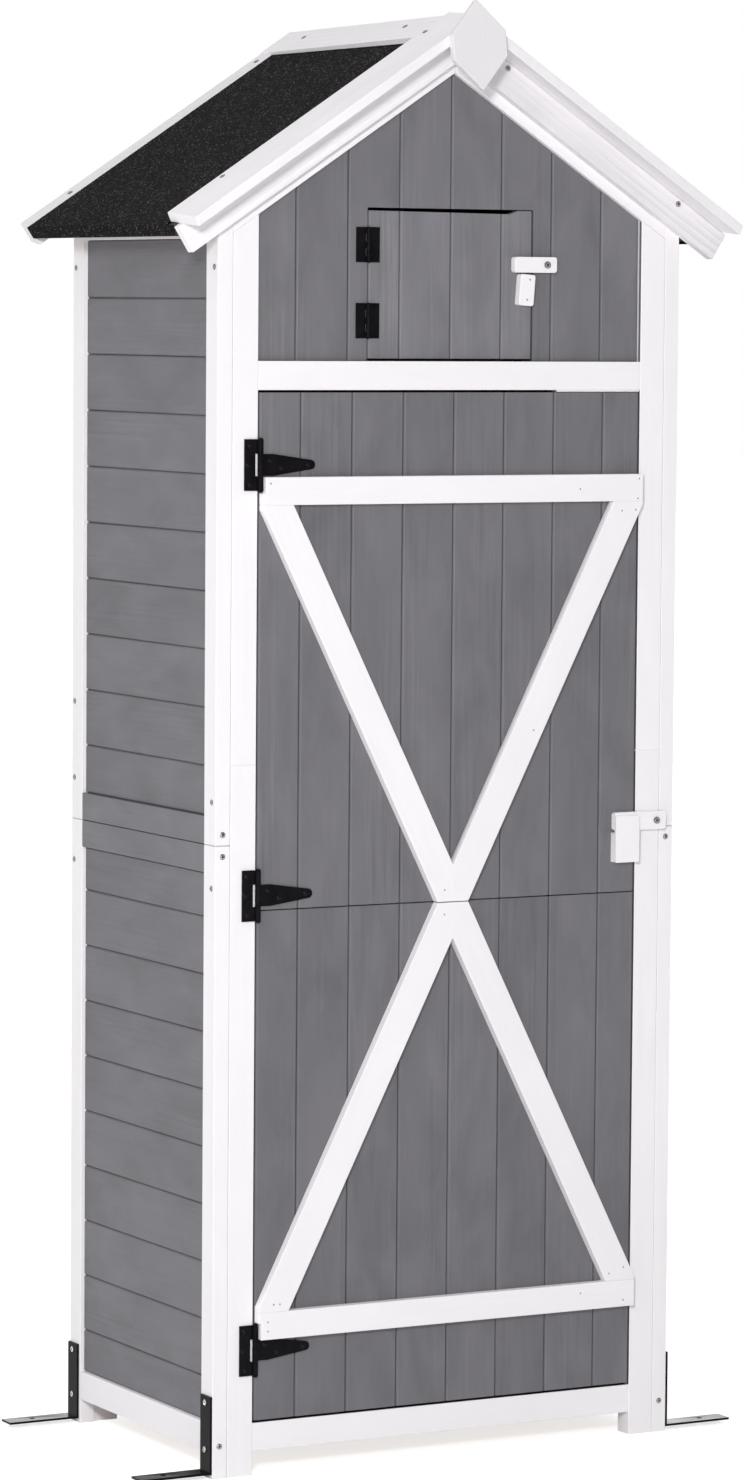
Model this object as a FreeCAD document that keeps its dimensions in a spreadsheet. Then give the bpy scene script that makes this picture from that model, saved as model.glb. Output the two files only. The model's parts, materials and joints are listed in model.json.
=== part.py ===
import FreeCAD, Part
import os
import re
import Sketcher

# Garden storage cabinet: a narrow timber cabinet with a pitched felt roof, one tall
# braced door, a small hatch in the gable and wooden turn bars.
# X runs to the right, Y to the back, Z up. Sizes are in millimetres. The sheet measures
# Y from the front face of the corner posts, and shift_back centres the object on Y = 0.

os.makedirs("parts", exist_ok=True)
doc = FreeCAD.newDocument("garden_cabinet")
sheet = doc.addObject("Spreadsheet::Sheet", "dims")

# Driving dimensions: alias, value, meaning
DIMENSIONS = [
    ("half_width", "340", "centre to the outer face of a corner post"),
    ("side_depth", "426", "front face to rear face of the corner posts"),
    ("post_across", "21", "corner post across the front"),
    ("post_deep", "32", "corner post along the side"),
    ("side_split", "815", "height where the lower and upper side panels meet"),
    ("split_gap", "0.9", "gap between the side rails that meet there"),
    ("rail_tall", "36", "height of the side rails at the split"),
    ("side_rail_low", "32.5", "underside of the side bottom rail"),
    ("side_rail_tall", "38.2", "height of the side bottom rail"),
    ("side_head_tall", "40.9", "height of the side top rail at its outer face"),
    ("side_recess", "5.5", "cladding behind the outer face of the posts"),
    ("board_thick", "12", "thickness of all cladding boards"),
    ("groove", "2", "chamfer on each board edge, half of a vee joint"),
    ("hairline", "0.15", "half the hairline gap where two boards meet"),
    ("over", "10", "reach of a cutting shape past the piece it cuts"),
    ("side_pitch", "74.2", "cover width of a side board"),
    ("side_up_first", "99.8", "split to the first board joint above it"),
    ("side_down_first", "94.1", "split to the first board joint below it"),
    ("stile_wide", "36.6", "width of a front stile"),
    ("stile_deep", "28", "thickness of the front and back frames"),
    ("stile_gap", "0.5", "seam between a stile and its corner post"),
    ("stile_split", "917", "height where the front stiles are joined"),
    ("sill_low", "30.6", "underside of the front bottom rail"),
    ("sill_tall", "37.2", "height of the front bottom rail"),
    ("sill_set", "1.5", "front bottom rail behind the post faces"),
    ("cross_low", "1393", "underside of the rail above the door"),
    ("cross_tall", "37", "height of the rail above the door"),
    ("lip_left", "157", "left end of the lip under the rail above the door"),
    ("lip_set", "1.5", "that lip behind the face of the rail"),
    ("lip_clear", "0.6", "that lip above the door"),
    ("pitch", "0.6545", "rise of the roof over its run"),
    ("gable_rise", "369.8", "rail above the door to the inner corner of the rafters"),
    ("rafter_tall", "47.7", "plumb height of a gable rafter"),
    ("gable_recess", "7.5", "gable boards behind the post faces"),
    ("gable_board", "75", "cover width of a gable board"),
    ("deck_tall", "14.3", "plumb thickness of the roof deck"),
    ("eave", "62", "roof deck beyond the corner posts"),
    ("felt_tall", "3", "plumb thickness of the felt"),
    ("felt_over", "2.4", "felt beyond the roof deck at the eave"),
    ("felt_start", "20.6", "front edge of the felt"),
    ("felt_fold", "15.6", "felt turned down at the eave"),
    ("strip_front", "-60", "front face of the front roof strips"),
    ("strip_back", "20", "rear edge of the front roof strips"),
    ("strip_clear", "0.15", "gap between the front strips and what they lie on"),
    ("strip_tall", "15", "plumb thickness of the front strips"),
    ("strip_rise", "6.6", "rise of the front strips from front to back"),
    ("strip_taper", "5", "lower end corner of a front strip inside the upper one"),
    ("fascia_thick", "15", "thickness of the fascia boards"),
    ("fascia_tall", "45", "plumb height of the fascia boards"),
    ("fascia_over", "0.5", "fascia beyond the roof deck at the eave"),
    ("fascia_taper", "20", "lower end corner of the fascia inside the upper one"),
    ("rear_reach", "8.5", "roof deck beyond the rear posts"),
    ("rear_deep", "27.5", "rear roof strips from front to back"),
    ("rear_tall", "35.3", "plumb height of the rear roof strips"),
    ("rear_rise", "4", "rise of the rear strips from front to back"),
    ("rear_inset", "0.5", "rear strips inside the end of the roof deck"),
    ("rear_taper", "16.5", "lower end corner of a rear strip inside the upper one"),
    ("cap_tall", "10", "plumb thickness of the ridge caps at the front"),
    ("cap_fall", "4.4", "fall of the ridge caps from front to back"),
    ("cap_half", "45", "ridge, centre to the lower edge of a cap board"),
    ("finial_face", "-70", "front face of the finial plate"),
    ("finial_x", "-3.3", "centre of the finial plate"),
    ("finial_drop", "24.6", "centre of the finial plate below the front strips"),
    ("finial_tall", "57.5", "half height of the finial plate"),
    ("finial_wide", "39", "half width of the finial plate"),
    ("finial_side", "16.5", "half length of the clipped sides"),
    ("hinge_gap", "2.2", "gap between a stile and the hinge edge of the door"),
    ("free_gap", "1.2", "gap between a stile and the free edge of the door"),
    ("door_under", "3.2", "gap under the door"),
    ("door_over", "3", "gap over the door"),
    ("door_seam", "730", "height where the two door halves meet"),
    ("seam_half", "0.6", "half the gap between the door halves"),
    ("door_joint", "3", "board joint nearest the middle of the door"),
    ("door_board", "74.45", "cover width of a door board"),
    ("brace_proud", "13", "rails and braces in front of the door boards"),
    ("door_rail_tall", "35.5", "height of the door rails"),
    ("top_rail_drop", "142.5", "underside of the upper door rail below the top of the door"),
    ("low_rail_lift", "106", "underside of the lower door rail above the bottom of the door"),
    ("brace_wide_top", "44.4", "upper brace across its end at the upper rail"),
    ("brace_in_lift", "48", "inner corner of the upper braces above the seam"),
    ("brace_out_seam", "22.8", "brace outer edge at the seam"),
    ("brace_end", "4.2925", "rail to the outer edge of a brace at the free edge of the door"),
    ("brace_wide_foot", "44.2", "lower brace across its end at the lower rail"),
    ("low_in_drop", "47.2", "inner corner of the lower braces below the seam"),
    ("pin_gap", "1.9", "stile to the door hinge line"),
    ("pin_y", "-4", "door hinge line in front of the posts"),
    ("knuckle", "3.6", "outer radius of a door hinge knuckle"),
    ("pin_radius", "1.8", "door hinge pin"),
    ("bore_radius", "1.86", "hole in a door hinge knuckle"),
    ("plate_thick", "2.5", "hinge plate and strap thickness"),
    ("plate_wide", "21.5", "hinge line to the outer edge of a door hinge plate"),
    ("plate_tall", "65.4", "height of a door hinge plate"),
    ("plate_notch", "3", "gap between the plate and the strap's knuckle"),
    ("strap_tall", "27.6", "strap width at the knuckle"),
    ("strap_even", "19", "hinge line to where the strap begins to taper"),
    ("strap_long", "73", "hinge line to the centre of the strap's round tip"),
    ("strap_tip", "6", "radius of the strap's round tip"),
    ("knuckle_gap", "0.3", "running gap between hinge knuckles"),
    ("knuckle_room", "3.7", "door rails set in beside the hinge knuckles"),
    ("plate_room", "3", "that notch past the end of a hinge plate"),
    ("pin_head", "1.6", "thickness of a hinge pin's head"),
    ("pin_head_radius", "2.9", "radius of a hinge pin's head"),
    ("hinge_top_drop", "91.6", "top door hinge below the top of the door"),
    ("hinge_mid_lift", "19.6", "middle door hinge above the seam"),
    ("hinge_low_lift", "92", "bottom door hinge above the bottom of the door"),
    ("block_wide", "36.2", "width of the door handle block"),
    ("block_lift", "40.5", "door handle block above the seam"),
    ("block_tall", "62", "height of the door handle block"),
    ("block_proud", "13.4", "door handle block in front of the boards"),
    ("rebate_tall", "22.5", "height of the rebate that the bar lies in"),
    ("rebate_deep", "9.3", "depth of that rebate from the boards"),
    ("bar_reach", "63.8", "door turn bar, pivot to the end over the door"),
    ("bar_tail", "15.6", "door turn bar, pivot to the short end"),
    ("bar_tall", "23.9", "height of the door turn bar"),
    ("bar_thick", "8.5", "thickness of the door turn bar"),
    ("bar_lift", "2.45", "door turn bar above the floor of its rebate"),
    ("bar_pivot_in", "27", "stile edge to the pivot screw of the door turn bar"),
    ("slack", "0.5", "running gap beside the turn bars"),
    ("screw_radius", "2.4", "shank of a pivot screw"),
    ("screw_hole", "2.5", "hole in a turn bar"),
    ("screw_head", "4.6", "head radius of a pivot screw"),
    ("screw_head_thick", "2", "head thickness of a pivot screw"),
    ("hatch_left", "-122.5", "left side of the hatch opening"),
    ("hatch_right", "122.3", "right side of the hatch opening"),
    ("hatch_tall", "195.9", "height of the hatch opening"),
    ("hatch_gap", "1.5", "gap round the hatch on its hinge side"),
    ("hatch_clear", "1", "gap round the hatch on its other sides"),
    ("hatch_floor", "2.5", "gap under the hatch"),
    ("dip_start", "3.6", "gap over the hatch at its hinge side"),
    ("dip_end", "5.5", "gap over the hatch where it is widest"),
    ("dip_in", "35.3", "that place, in from the right side of the opening"),
    ("dip_run", "12", "run over which the gap closes again"),
    ("leaf_thick", "1.5", "thickness of a butt hinge leaf"),
    ("leaf_wide", "17", "hinge line to the edge of a leaf"),
    ("leaf_tall", "45", "height of a butt hinge"),
    ("leaf_gap", "0.2", "running gap above and below a butt hinge knuckle"),
    ("butt_knuckle", "3", "outer radius of a butt hinge knuckle"),
    ("butt_bore", "1.56", "hole in a butt hinge knuckle"),
    ("butt_pin", "1.5", "butt hinge pin"),
    ("butt_pin_proud", "0.6", "butt hinge pin beyond its knuckles"),
    ("butt_top_drop", "47.4", "upper butt hinge below the top of the opening"),
    ("butt_low_lift", "51.5", "lower butt hinge above the rail"),
    ("turn_pivot_out", "14.6", "right side of the opening to the pivot screw of the hatch bar"),
    ("turn_reach", "47.9", "hatch turn bar, pivot to the end over the hatch"),
    ("turn_tail", "15.4", "hatch turn bar, pivot to the short end"),
    ("turn_drop", "70.6", "hatch turn bar below the top of the opening"),
    ("turn_tall", "20.3", "height of the hatch turn bar"),
    ("turn_thick", "10", "thickness of the hatch turn bar"),
    ("tab_in", "15.1", "middle of the hatch handle, in from the right side of the opening"),
    ("tab_wide", "22", "width of the hatch handle"),
    ("tab_tall", "40.4", "height of the hatch handle"),
    ("tab_drop", "32.8", "middle of the hatch handle below the middle of the turn bar"),
    ("tab_proud", "12", "hatch handle in front of the hatch boards"),
    ("bracket_low", "6", "underside of the anchor brackets"),
    ("bracket_tall", "101", "height and reach of an anchor bracket"),
    ("bracket_wide", "28", "width of an anchor bracket"),
    ("bracket_thick", "3", "steel thickness of an anchor bracket"),
    ("foot_hole_in", "38.5", "end of a bracket foot to the centre of its hole"),
    ("foot_hole", "3.6", "radius of that hole"),
    ("bracket_screw_lift", "31", "lower bracket screw above the foot"),
    ("bracket_screw_drop", "9", "upper bracket screw below the end of the leg"),
    ("bracket_head", "4.4", "head radius of a bracket screw"),
    ("bracket_head_thick", "2", "head thickness of a bracket screw"),
    ("head_radius", "3.8", "head radius of a frame screw"),
    ("head_thick", "1.2", "head thickness of a frame screw"),
    ("head_screw_drop", "36.3", "top screw of a corner post below the side top rail"),
    ("seam_screw", "55", "screws of a corner post from the split or the stile joint"),
    ("post_screw_drop", "14", "front post screws below the split"),
    ("foot_screw_lift", "42", "front post screws above the ground"),
    ("fascia_screw_in", "69", "inner fascia screw from the centre"),
    ("fascia_screw_out", "328.6", "outer fascia screw from the centre"),
    ("fascia_screw_drop", "8.5", "fascia screws below the top of the fascia"),
    ("strip_screw_in", "40", "inner front strip screw from the centre"),
    ("strip_screw_out", "330", "outer front strip screw from the centre"),
    ("strip_screw_back", "10.4", "front strip screws in front of the strip's rear edge"),
    ("rear_screw_in", "58", "inner rear strip screw from the centre"),
    ("rear_screw_out", "335", "outer rear strip screw from the centre"),
    ("cap_screw_side", "17", "ridge cap screws from the centre"),
    ("cap_screw_front", "84.4", "front ridge cap screws behind the cap's front end"),
    ("cap_screw_rear", "74", "rear ridge cap screws in front of the cap's rear end"),
    ("plate_screw", "2.9", "head radius of a hinge screw"),
    ("plate_screw_thick", "0.8", "head thickness of a hinge screw"),
    ("shelf_lift", "12", "shelf under the gable above the underside of the rail"),
    ("shelf_gap", "3", "floor and shelf inside the corner posts"),
    ("inner_gap", "2", "gap between inner pieces and the frame"),
    ("batten", "20", "shelf and floor batten"),
    ("stop_wide", "32", "width of the door stop"),
    ("stop_lap", "13.2", "lap of the door stop behind the free edge of the door"),
    ("stop_clear", "4", "door stop short of the ends of the door"),
    ("ledge_deep", "14", "inner ledges of the door and the hatch"),
    ("ledge_tall", "36", "height of those ledges"),
    ("ledge_set", "25.2", "door ledges, set in from the hinge edge"),
    ("ledge_end", "5.2", "door ledges, set in from the free edge"),
    ("ledge_seam", "4", "door ledges, clear of the seam"),
    ("splint_at", "198", "centre line to the middle of a door splint"),
    ("splint_half", "110", "half length of a door splint"),
    ("frame_batten", "21", "width of the battens that frame the hatch"),
    ("frame_over", "60", "reach of those battens above the hatch"),
    ("hatch_ledge_at", "55", "hatch ledges, above and below its middle"),
]
for row, (alias, value, meaning) in enumerate(DIMENSIONS, start=1):
    sheet.set("A%d" % row, alias)
    sheet.set("B%d" % row, value)
    sheet.set("C%d" % row, meaning)
    sheet.setAlias("B%d" % row, alias)
WORKED_OUT = [
    ("slope_length", "=sqrt(1 + pitch * pitch)", "length along the roof for one unit across"),
    ("side_rail_high", "=side_rail_low + side_rail_tall", "top of the side bottom rail"),
    ("sill_high", "=sill_low + sill_tall", "top of the front bottom rail"),
    ("cross_high", "=cross_low + cross_tall", "top of the rail above the door"),
    ("gable_peak", "=cross_high + gable_rise", "inner corner of the gable rafters"),
    ("deck_low", "=gable_peak + rafter_tall", "underside of the roof deck on the centre line"),
    ("deck_high", "=deck_low + deck_tall", "top of the roof deck on the centre line"),
    ("felt_high", "=deck_high + felt_tall", "top of the felt on the centre line"),
    ("cap_high", "=felt_high + cap_tall", "top of the ridge caps on the centre line"),
    ("strip_slant", "=strip_rise / (strip_back - strip_front)", "rise of a front strip over its run"),
    ("strip_low", "=deck_high + strip_clear + strip_slant * strip_front",
     "underside of the front strips at their front edge"),
    ("fascia_high", "=strip_low - strip_clear - strip_slant * (fascia_thick + strip_front)",
     "top of the fascia on the centre line"),
    ("fascia_low", "=fascia_high - fascia_tall", "bottom of the fascia on the centre line"),
    ("rear_low", "=felt_high - rear_tall", "underside of the rear strips on the centre line"),
    ("deck_end", "=half_width + eave", "roof deck, centre to eave"),
    ("felt_end", "=deck_end + felt_over", "felt, centre to the outside of the eave fold"),
    ("fascia_end", "=deck_end + fascia_over", "fascia, centre to the upper end corner"),
    ("rear_end", "=deck_end - rear_inset", "rear strip, centre to the upper end corner"),
    ("rear_start", "=side_depth + rear_reach", "front face of the rear roof strips"),
    ("rear_face", "=rear_start + rear_deep", "rear face of the rear roof strips"),
    ("shift_back", "=-(finial_face + rear_face) / 2", "moves the object to its own centre"),
    ("finial_z", "=strip_low - finial_drop", "height of the finial plate's centre"),
    ("side_head_low", "=deck_low - pitch * half_width - side_head_tall", "underside of the side top rail"),
    ("stile_in", "=half_width - post_across - stile_wide", "centre to the inner edge of a stile"),
    ("door_left", "=hinge_gap - stile_in", "hinge edge of the door"),
    ("door_right", "=stile_in - free_gap", "free edge of the door"),
    ("door_low", "=sill_high + door_under", "bottom of the door"),
    ("door_high", "=cross_low - door_over", "top of the door"),
    ("top_rail_low", "=door_high - top_rail_drop", "underside of the upper door rail"),
    ("top_rail_high", "=top_rail_low + door_rail_tall", "top of the upper door rail"),
    ("low_rail_low", "=door_low + low_rail_lift", "underside of the lower door rail"),
    ("low_rail_high", "=low_rail_low + door_rail_tall", "top of the lower door rail"),
    ("pin_x", "=pin_gap - stile_in", "door hinge line"),
    ("hinge_top", "=door_high - hinge_top_drop", "centre of the top door hinge"),
    ("hinge_mid", "=door_seam + hinge_mid_lift", "centre of the middle door hinge"),
    ("hinge_low", "=door_low + hinge_low_lift", "centre of the bottom door hinge"),
    ("block_low", "=door_seam + block_lift", "door handle block, bottom"),
    ("block_high", "=block_low + block_tall", "door handle block, top"),
    ("rebate_low", "=block_high - rebate_tall", "floor of the rebate that the bar lies in"),
    ("bar_z", "=rebate_low + bar_lift + bar_tall / 2", "centre height of the door turn bar"),
    ("bar_pivot", "=stile_in + bar_pivot_in", "pivot screw of the door turn bar"),
    ("hatch_top", "=cross_high + hatch_tall", "top of the hatch opening"),
    ("butt_top", "=hatch_top - butt_top_drop", "centre of the upper butt hinge"),
    ("butt_low", "=cross_high + butt_low_lift", "centre of the lower butt hinge"),
    ("turn_z", "=hatch_top - turn_drop", "centre height of the hatch turn bar"),
    ("turn_pivot", "=hatch_right + turn_pivot_out", "pivot screw of the hatch turn bar"),
    ("floor_low", "=sill_high - board_thick", "underside of the floor"),
    ("shelf_low", "=cross_low + shelf_lift", "underside of the shelf under the gable"),
    ("floor_board", "=(half_width - post_across - shelf_gap) / 4", "cover width of a floor or shelf board"),
]
for row, (alias, sum_text, meaning) in enumerate(WORKED_OUT, start=len(DIMENSIONS) + 1):
    sheet.set("A%d" % row, alias)
    sheet.setAlias("B%d" % row, alias)
    sheet.set("B%d" % row, sum_text)
    sheet.set("C%d" % row, meaning)
doc.recompute()
ALIASES = {entry[0] for entry in DIMENSIONS + WORKED_OUT}


def formula(text):
    """A formula over the sheet's aliases, as the document's expressions want it."""
    return re.sub(r"[a-z][a-z_]*", lambda m: "dims." + m[0] if m[0] in ALIASES else m[0], str(text))


def value(text):
    """The number a formula gives with the sheet's present values."""
    numbers = re.sub(r"[a-z][a-z_]*", lambda m: repr(float(sheet.get(m[0]))), str(text))
    return float(FreeCAD.Units.Quantity(numbers).Value)


def bind(obj, settings):
    """Binds each property of an object to a formula over the sheet."""
    for name, text in settings.items():
        obj.setExpression(name, formula(text))
    return obj


def at(obj, x, y, z):
    """Binds where an object stands."""
    return bind(obj, {"Placement.Base.x": x, "Placement.Base.y": y, "Placement.Base.z": z})


def minus(a, b):
    """The formula for one value less another."""
    return "(%s) - (%s)" % (a, b)


def box(name, x, y, z):
    """A square-cut board between two values on each axis."""
    piece = doc.addObject("Part::Box", name)
    sizes = {"Length": minus(x[1], x[0]), "Width": minus(y[1], y[0]), "Height": minus(z[1], z[0])}
    bind(piece, sizes)
    return at(piece, x[0], y[0], z[0])


TURNS = {
    "XZ": (FreeCAD.Rotation(FreeCAD.Vector(1, 0, 0), 90), (0, 1, 0), "y"),
    "XY": (FreeCAD.Rotation(), (0, 0, 1), "z"),
    "YZ": (FreeCAD.Rotation(FreeCAD.Vector(1, 1, 1), 120), (1, 0, 0), "x"),
}


def prism(name, plane, corners, start, end, rise="0"):
    """A flat outline pushed from start to end along the third axis, climbing by rise."""
    turn, way, axis = TURNS[plane]
    outline = doc.addObject("Sketcher::SketchObject", name + "_outline")
    outline.Placement = FreeCAD.Placement(FreeCAD.Vector(), turn)
    points = [FreeCAD.Vector(value(a), value(b), 0) for a, b in corners]
    count = len(points)
    for k in range(count):
        outline.addGeometry(Part.LineSegment(points[k], points[(k + 1) % count]), False)
    for k in range(count):
        outline.addConstraint(Sketcher.Constraint("Coincident", k, 2, (k + 1) % count, 1))
    for k, (a, b) in enumerate(corners):
        for kind, text, number in (("DistanceX", a, points[k].x), ("DistanceY", b, points[k].y)):
            index = outline.addConstraint(Sketcher.Constraint(kind, -1, 1, k, 1, number))
            outline.setExpression("Constraints[%d]" % index, formula(text))
    outline.setExpression("Placement.Base.%s" % axis, formula(start))
    piece = doc.addObject("Part::Extrusion", name)
    piece.Base = outline
    piece.DirMode = "Custom"
    piece.Solid = True
    climb = value(rise)
    run = value(minus(end, start))
    piece.Dir = FreeCAD.Vector(*way) * run + FreeCAD.Vector(0, 0, climb)
    bind(piece, {"LengthFwd": "sqrt((%s)^2 + (%s)^2)" % (minus(end, start), rise)})
    return piece


AXES = {
    "x": FreeCAD.Rotation(FreeCAD.Vector(0, 1, 0), 90),
    "y": FreeCAD.Rotation(FreeCAD.Vector(1, 0, 0), -90),
    "z": FreeCAD.Rotation(),
}


def rod(name, axis, radius, x, y, z, length):
    """A round bar from a point along an axis."""
    piece = doc.addObject("Part::Cylinder", name)
    piece.Placement = FreeCAD.Placement(FreeCAD.Vector(), AXES[axis])
    bind(piece, {"Radius": radius, "Height": length})
    return at(piece, x, y, z)


def cut(name, base, tool):
    """One piece with another taken away."""
    piece = doc.addObject("Part::Cut", name)
    piece.Base = base
    piece.Tool = tool
    return piece


def join(name, pieces):
    """Several shapes made into one piece."""
    piece = doc.addObject("Part::MultiFuse", name)
    piece.Shapes = pieces
    piece.Refine = True
    return piece


def overlap(name, base, tool):
    """What two shapes share."""
    piece = doc.addObject("Part::Common", name)
    piece.Base = base
    piece.Tool = tool
    return piece


NODES = {}


def node(label, pieces):
    """A named sub-part of one or more separate solids, moved to the object's own centre."""
    group = doc.addObject("Part::Compound", label)
    group.Label = label
    group.Links = pieces
    group.setExpression("Placement.Base.y", formula("shift_back"))
    NODES[label] = group
    return group


def side(name, sign):
    """The sign that mirrors a formula to the left or right side."""
    return "%s_%s" % (name, "left" if sign < 0 else "right")


def across(sign, text):
    """A distance from the centre line, put on one side."""
    return "(%d) * (%s)" % (sign, text)


def on_slope(peak, x):
    """Height of a roof line at a distance from the centre line."""
    return "(%s) - pitch * (%s)" % (peak, x)


def spans(sign, near, far):
    """Two distances from the centre line, in rising order on one side."""
    pair = (across(sign, near), across(sign, far))
    return pair if sign > 0 else pair[::-1]


# Side panels: posts, rails and horizontal boards in two halves
POST_IN = "half_width - post_across"
CLAD_OUT = "half_width - side_recess"
CLAD_IN = "half_width - side_recess - board_thick"
REAR_POST = "side_depth - post_deep"


def lying_board(name, sign, low, high):
    """A horizontal side board with chamfered outer edges."""
    low = "%s + hairline" % low
    high = "%s - hairline" % high
    corners = [
        (across(sign, CLAD_IN), low),
        (across(sign, minus(CLAD_OUT, "groove")), low),
        (across(sign, CLAD_OUT), "%s + groove" % low),
        (across(sign, CLAD_OUT), "%s - groove" % high),
        (across(sign, minus(CLAD_OUT, "groove")), high),
        (across(sign, CLAD_IN), high),
    ]
    return prism(name, "XZ", corners, "post_deep", REAR_POST)


def board_joints(first, way, last):
    """The heights of the board joints from the first one to the rail at the end."""
    count = int((value(last) - value(first)) / value(way)) + 1
    return ["%s + %d * (%s)" % (first, k, way) for k in range(count)]


def lying_boards(name, sign, edges):
    """Horizontal boards between neighbouring heights."""
    return [lying_board(side("%s_%d" % (name, k), sign), sign, edges[k], edges[k + 1])
            for k in range(len(edges) - 1)]


LOWER_JOINTS = ["side_split - rail_tall"]
LOWER_JOINTS += board_joints("side_split - side_down_first", "-side_pitch", "side_rail_high + 2 * groove")
LOWER_JOINTS = (LOWER_JOINTS + ["side_rail_high"])[::-1]
UPPER_JOINTS = ["side_split + rail_tall"]
UPPER_JOINTS += board_joints("side_split + side_up_first", "side_pitch", "side_head_low - 2 * groove")
UPPER_JOINTS += ["side_head_low"]

for sign in (-1, 1):
    posts_low = []
    posts_up = []
    for name, start, end in (("front", "0", "post_deep"), ("rear", REAR_POST, "side_depth")):
        x = spans(sign, POST_IN, "half_width")
        posts_low.append(box(side("post_low_" + name, sign), x, (start, end), ("0", "side_split")))
        corners = [
            (across(sign, POST_IN), "side_split"),
            (across(sign, "half_width"), "side_split"),
            (across(sign, "half_width"), on_slope("deck_low", "half_width")),
            (across(sign, POST_IN), on_slope("deck_low", POST_IN)),
        ]
        posts_up.append(prism(side("post_up_" + name, sign), "XZ", corners, start, end))
    x = spans(sign, POST_IN, "half_width")
    y = ("post_deep", REAR_POST)
    posts_low.append(box(side("side_bottom_rail", sign), x, y, ("side_rail_low", "side_rail_high")))
    corners = [
        (across(sign, POST_IN), "side_head_low"),
        (across(sign, "half_width"), "side_head_low"),
        (across(sign, "half_width"), on_slope("deck_low", "half_width")),
        (across(sign, POST_IN), on_slope("deck_low", POST_IN)),
    ]
    posts_up.append(prism(side("side_top_rail", sign), "XZ", corners, y[0], y[1]))
    node(side("side_lower_posts", sign), posts_low)
    node(side("side_upper_posts", sign), posts_up)
    low_z = ("side_split - rail_tall", "side_split - split_gap / 2")
    up_z = ("side_split + split_gap / 2", "side_split + rail_tall")
    node(side("side_lower_rail", sign), [box(side("rail_low", sign), x, y, low_z)])
    node(side("side_upper_rail", sign), [box(side("rail_up", sign), x, y, up_z)])
    node(side("side_lower_boards", sign), lying_boards("low_board", sign, LOWER_JOINTS))
    node(side("side_upper_boards", sign), lying_boards("up_board", sign, UPPER_JOINTS))

# Front frame: stiles in two lengths, bottom rail, rail above the door, gable rafters
STILE_OUT = POST_IN + " - stile_gap"
FRONT = ("0", "stile_deep")
BACK = ("side_depth - stile_deep", "side_depth")


def sloped_stile(name, sign, low, depth):
    """An upright whose top follows the underside of the rafter above it."""
    corners = [
        (across(sign, "stile_in"), low),
        (across(sign, STILE_OUT), low),
        (across(sign, STILE_OUT), on_slope("gable_peak - hairline", STILE_OUT)),
        (across(sign, "stile_in"), on_slope("gable_peak - hairline", "stile_in")),
    ]
    return prism(name, "XZ", corners, depth[0], depth[1])


def rafter(name, sign, depth):
    """One leg of the gable frame, mitred on the centre line."""
    corners = [
        (across(sign, "hairline"), on_slope("gable_peak", "hairline")),
        (across(sign, POST_IN), on_slope("gable_peak", POST_IN)),
        (across(sign, POST_IN), on_slope("deck_low", POST_IN)),
        (across(sign, "hairline"), on_slope("deck_low", "hairline")),
    ]
    return prism(name, "XZ", corners, depth[0], depth[1])


WHOLE = ("hairline - stile_in", "stile_in - hairline")
pairs = {"low": [], "up": [], "rafter": []}
for sign in (-1, 1):
    x = spans(sign, "stile_in", STILE_OUT)
    pairs["low"].append(box(side("front_stile_low", sign), x, FRONT, ("0", "stile_split")))
    pairs["up"].append(sloped_stile(side("front_stile_up", sign), sign, "stile_split", FRONT))
    pairs["rafter"].append(rafter(side("front_rafter", sign), sign, FRONT))
node("front_lower_stiles", pairs["low"])
node("front_upper_stiles", pairs["up"])
node("front_rafters", pairs["rafter"])
sill_y = ("sill_set", "stile_deep")
node("front_bottom_rail", [box("sill", WHOLE, sill_y, ("sill_low", "sill_high"))])
lip = box("cross_lip", ("lip_left", WHOLE[1]), ("lip_set", "stile_deep"),
          ("door_high + lip_clear", "cross_low + lip_set"))
node("front_cross_rail", [join("cross_rail", [box("cross", WHOLE, FRONT, ("cross_low", "cross_high")), lip])])


# Gable boards, notched round the hatch, and the battens that frame it inside
def standing_board(name, left, right, face, low, high, outward=-1):
    """An upright board with chamfered outer edges; its outer face is at face."""
    left = "(%s) + hairline" % left
    right = "(%s) - hairline" % right
    inner = "(%s) - (%d) * board_thick" % (face, outward)
    bevel = "(%s) - (%d) * groove" % (face, outward)
    corners = [
        (left, inner),
        (right, inner),
        (right, bevel),
        (minus(right, "groove"), face),
        ("(%s) + groove" % left, face),
        (left, bevel),
    ]
    return prism(name, "XY", corners, low, high)


def gable_shape(name, start, end):
    """The space inside a gable frame above its cross rail."""
    corners = [
        ("-stile_in", "cross_high"),
        ("stile_in", "cross_high"),
        ("stile_in", on_slope("gable_peak", "stile_in")),
        ("0", "gable_peak"),
        ("-stile_in", on_slope("gable_peak", "stile_in")),
    ]
    return prism(name, "XZ", corners, start, end)


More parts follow.
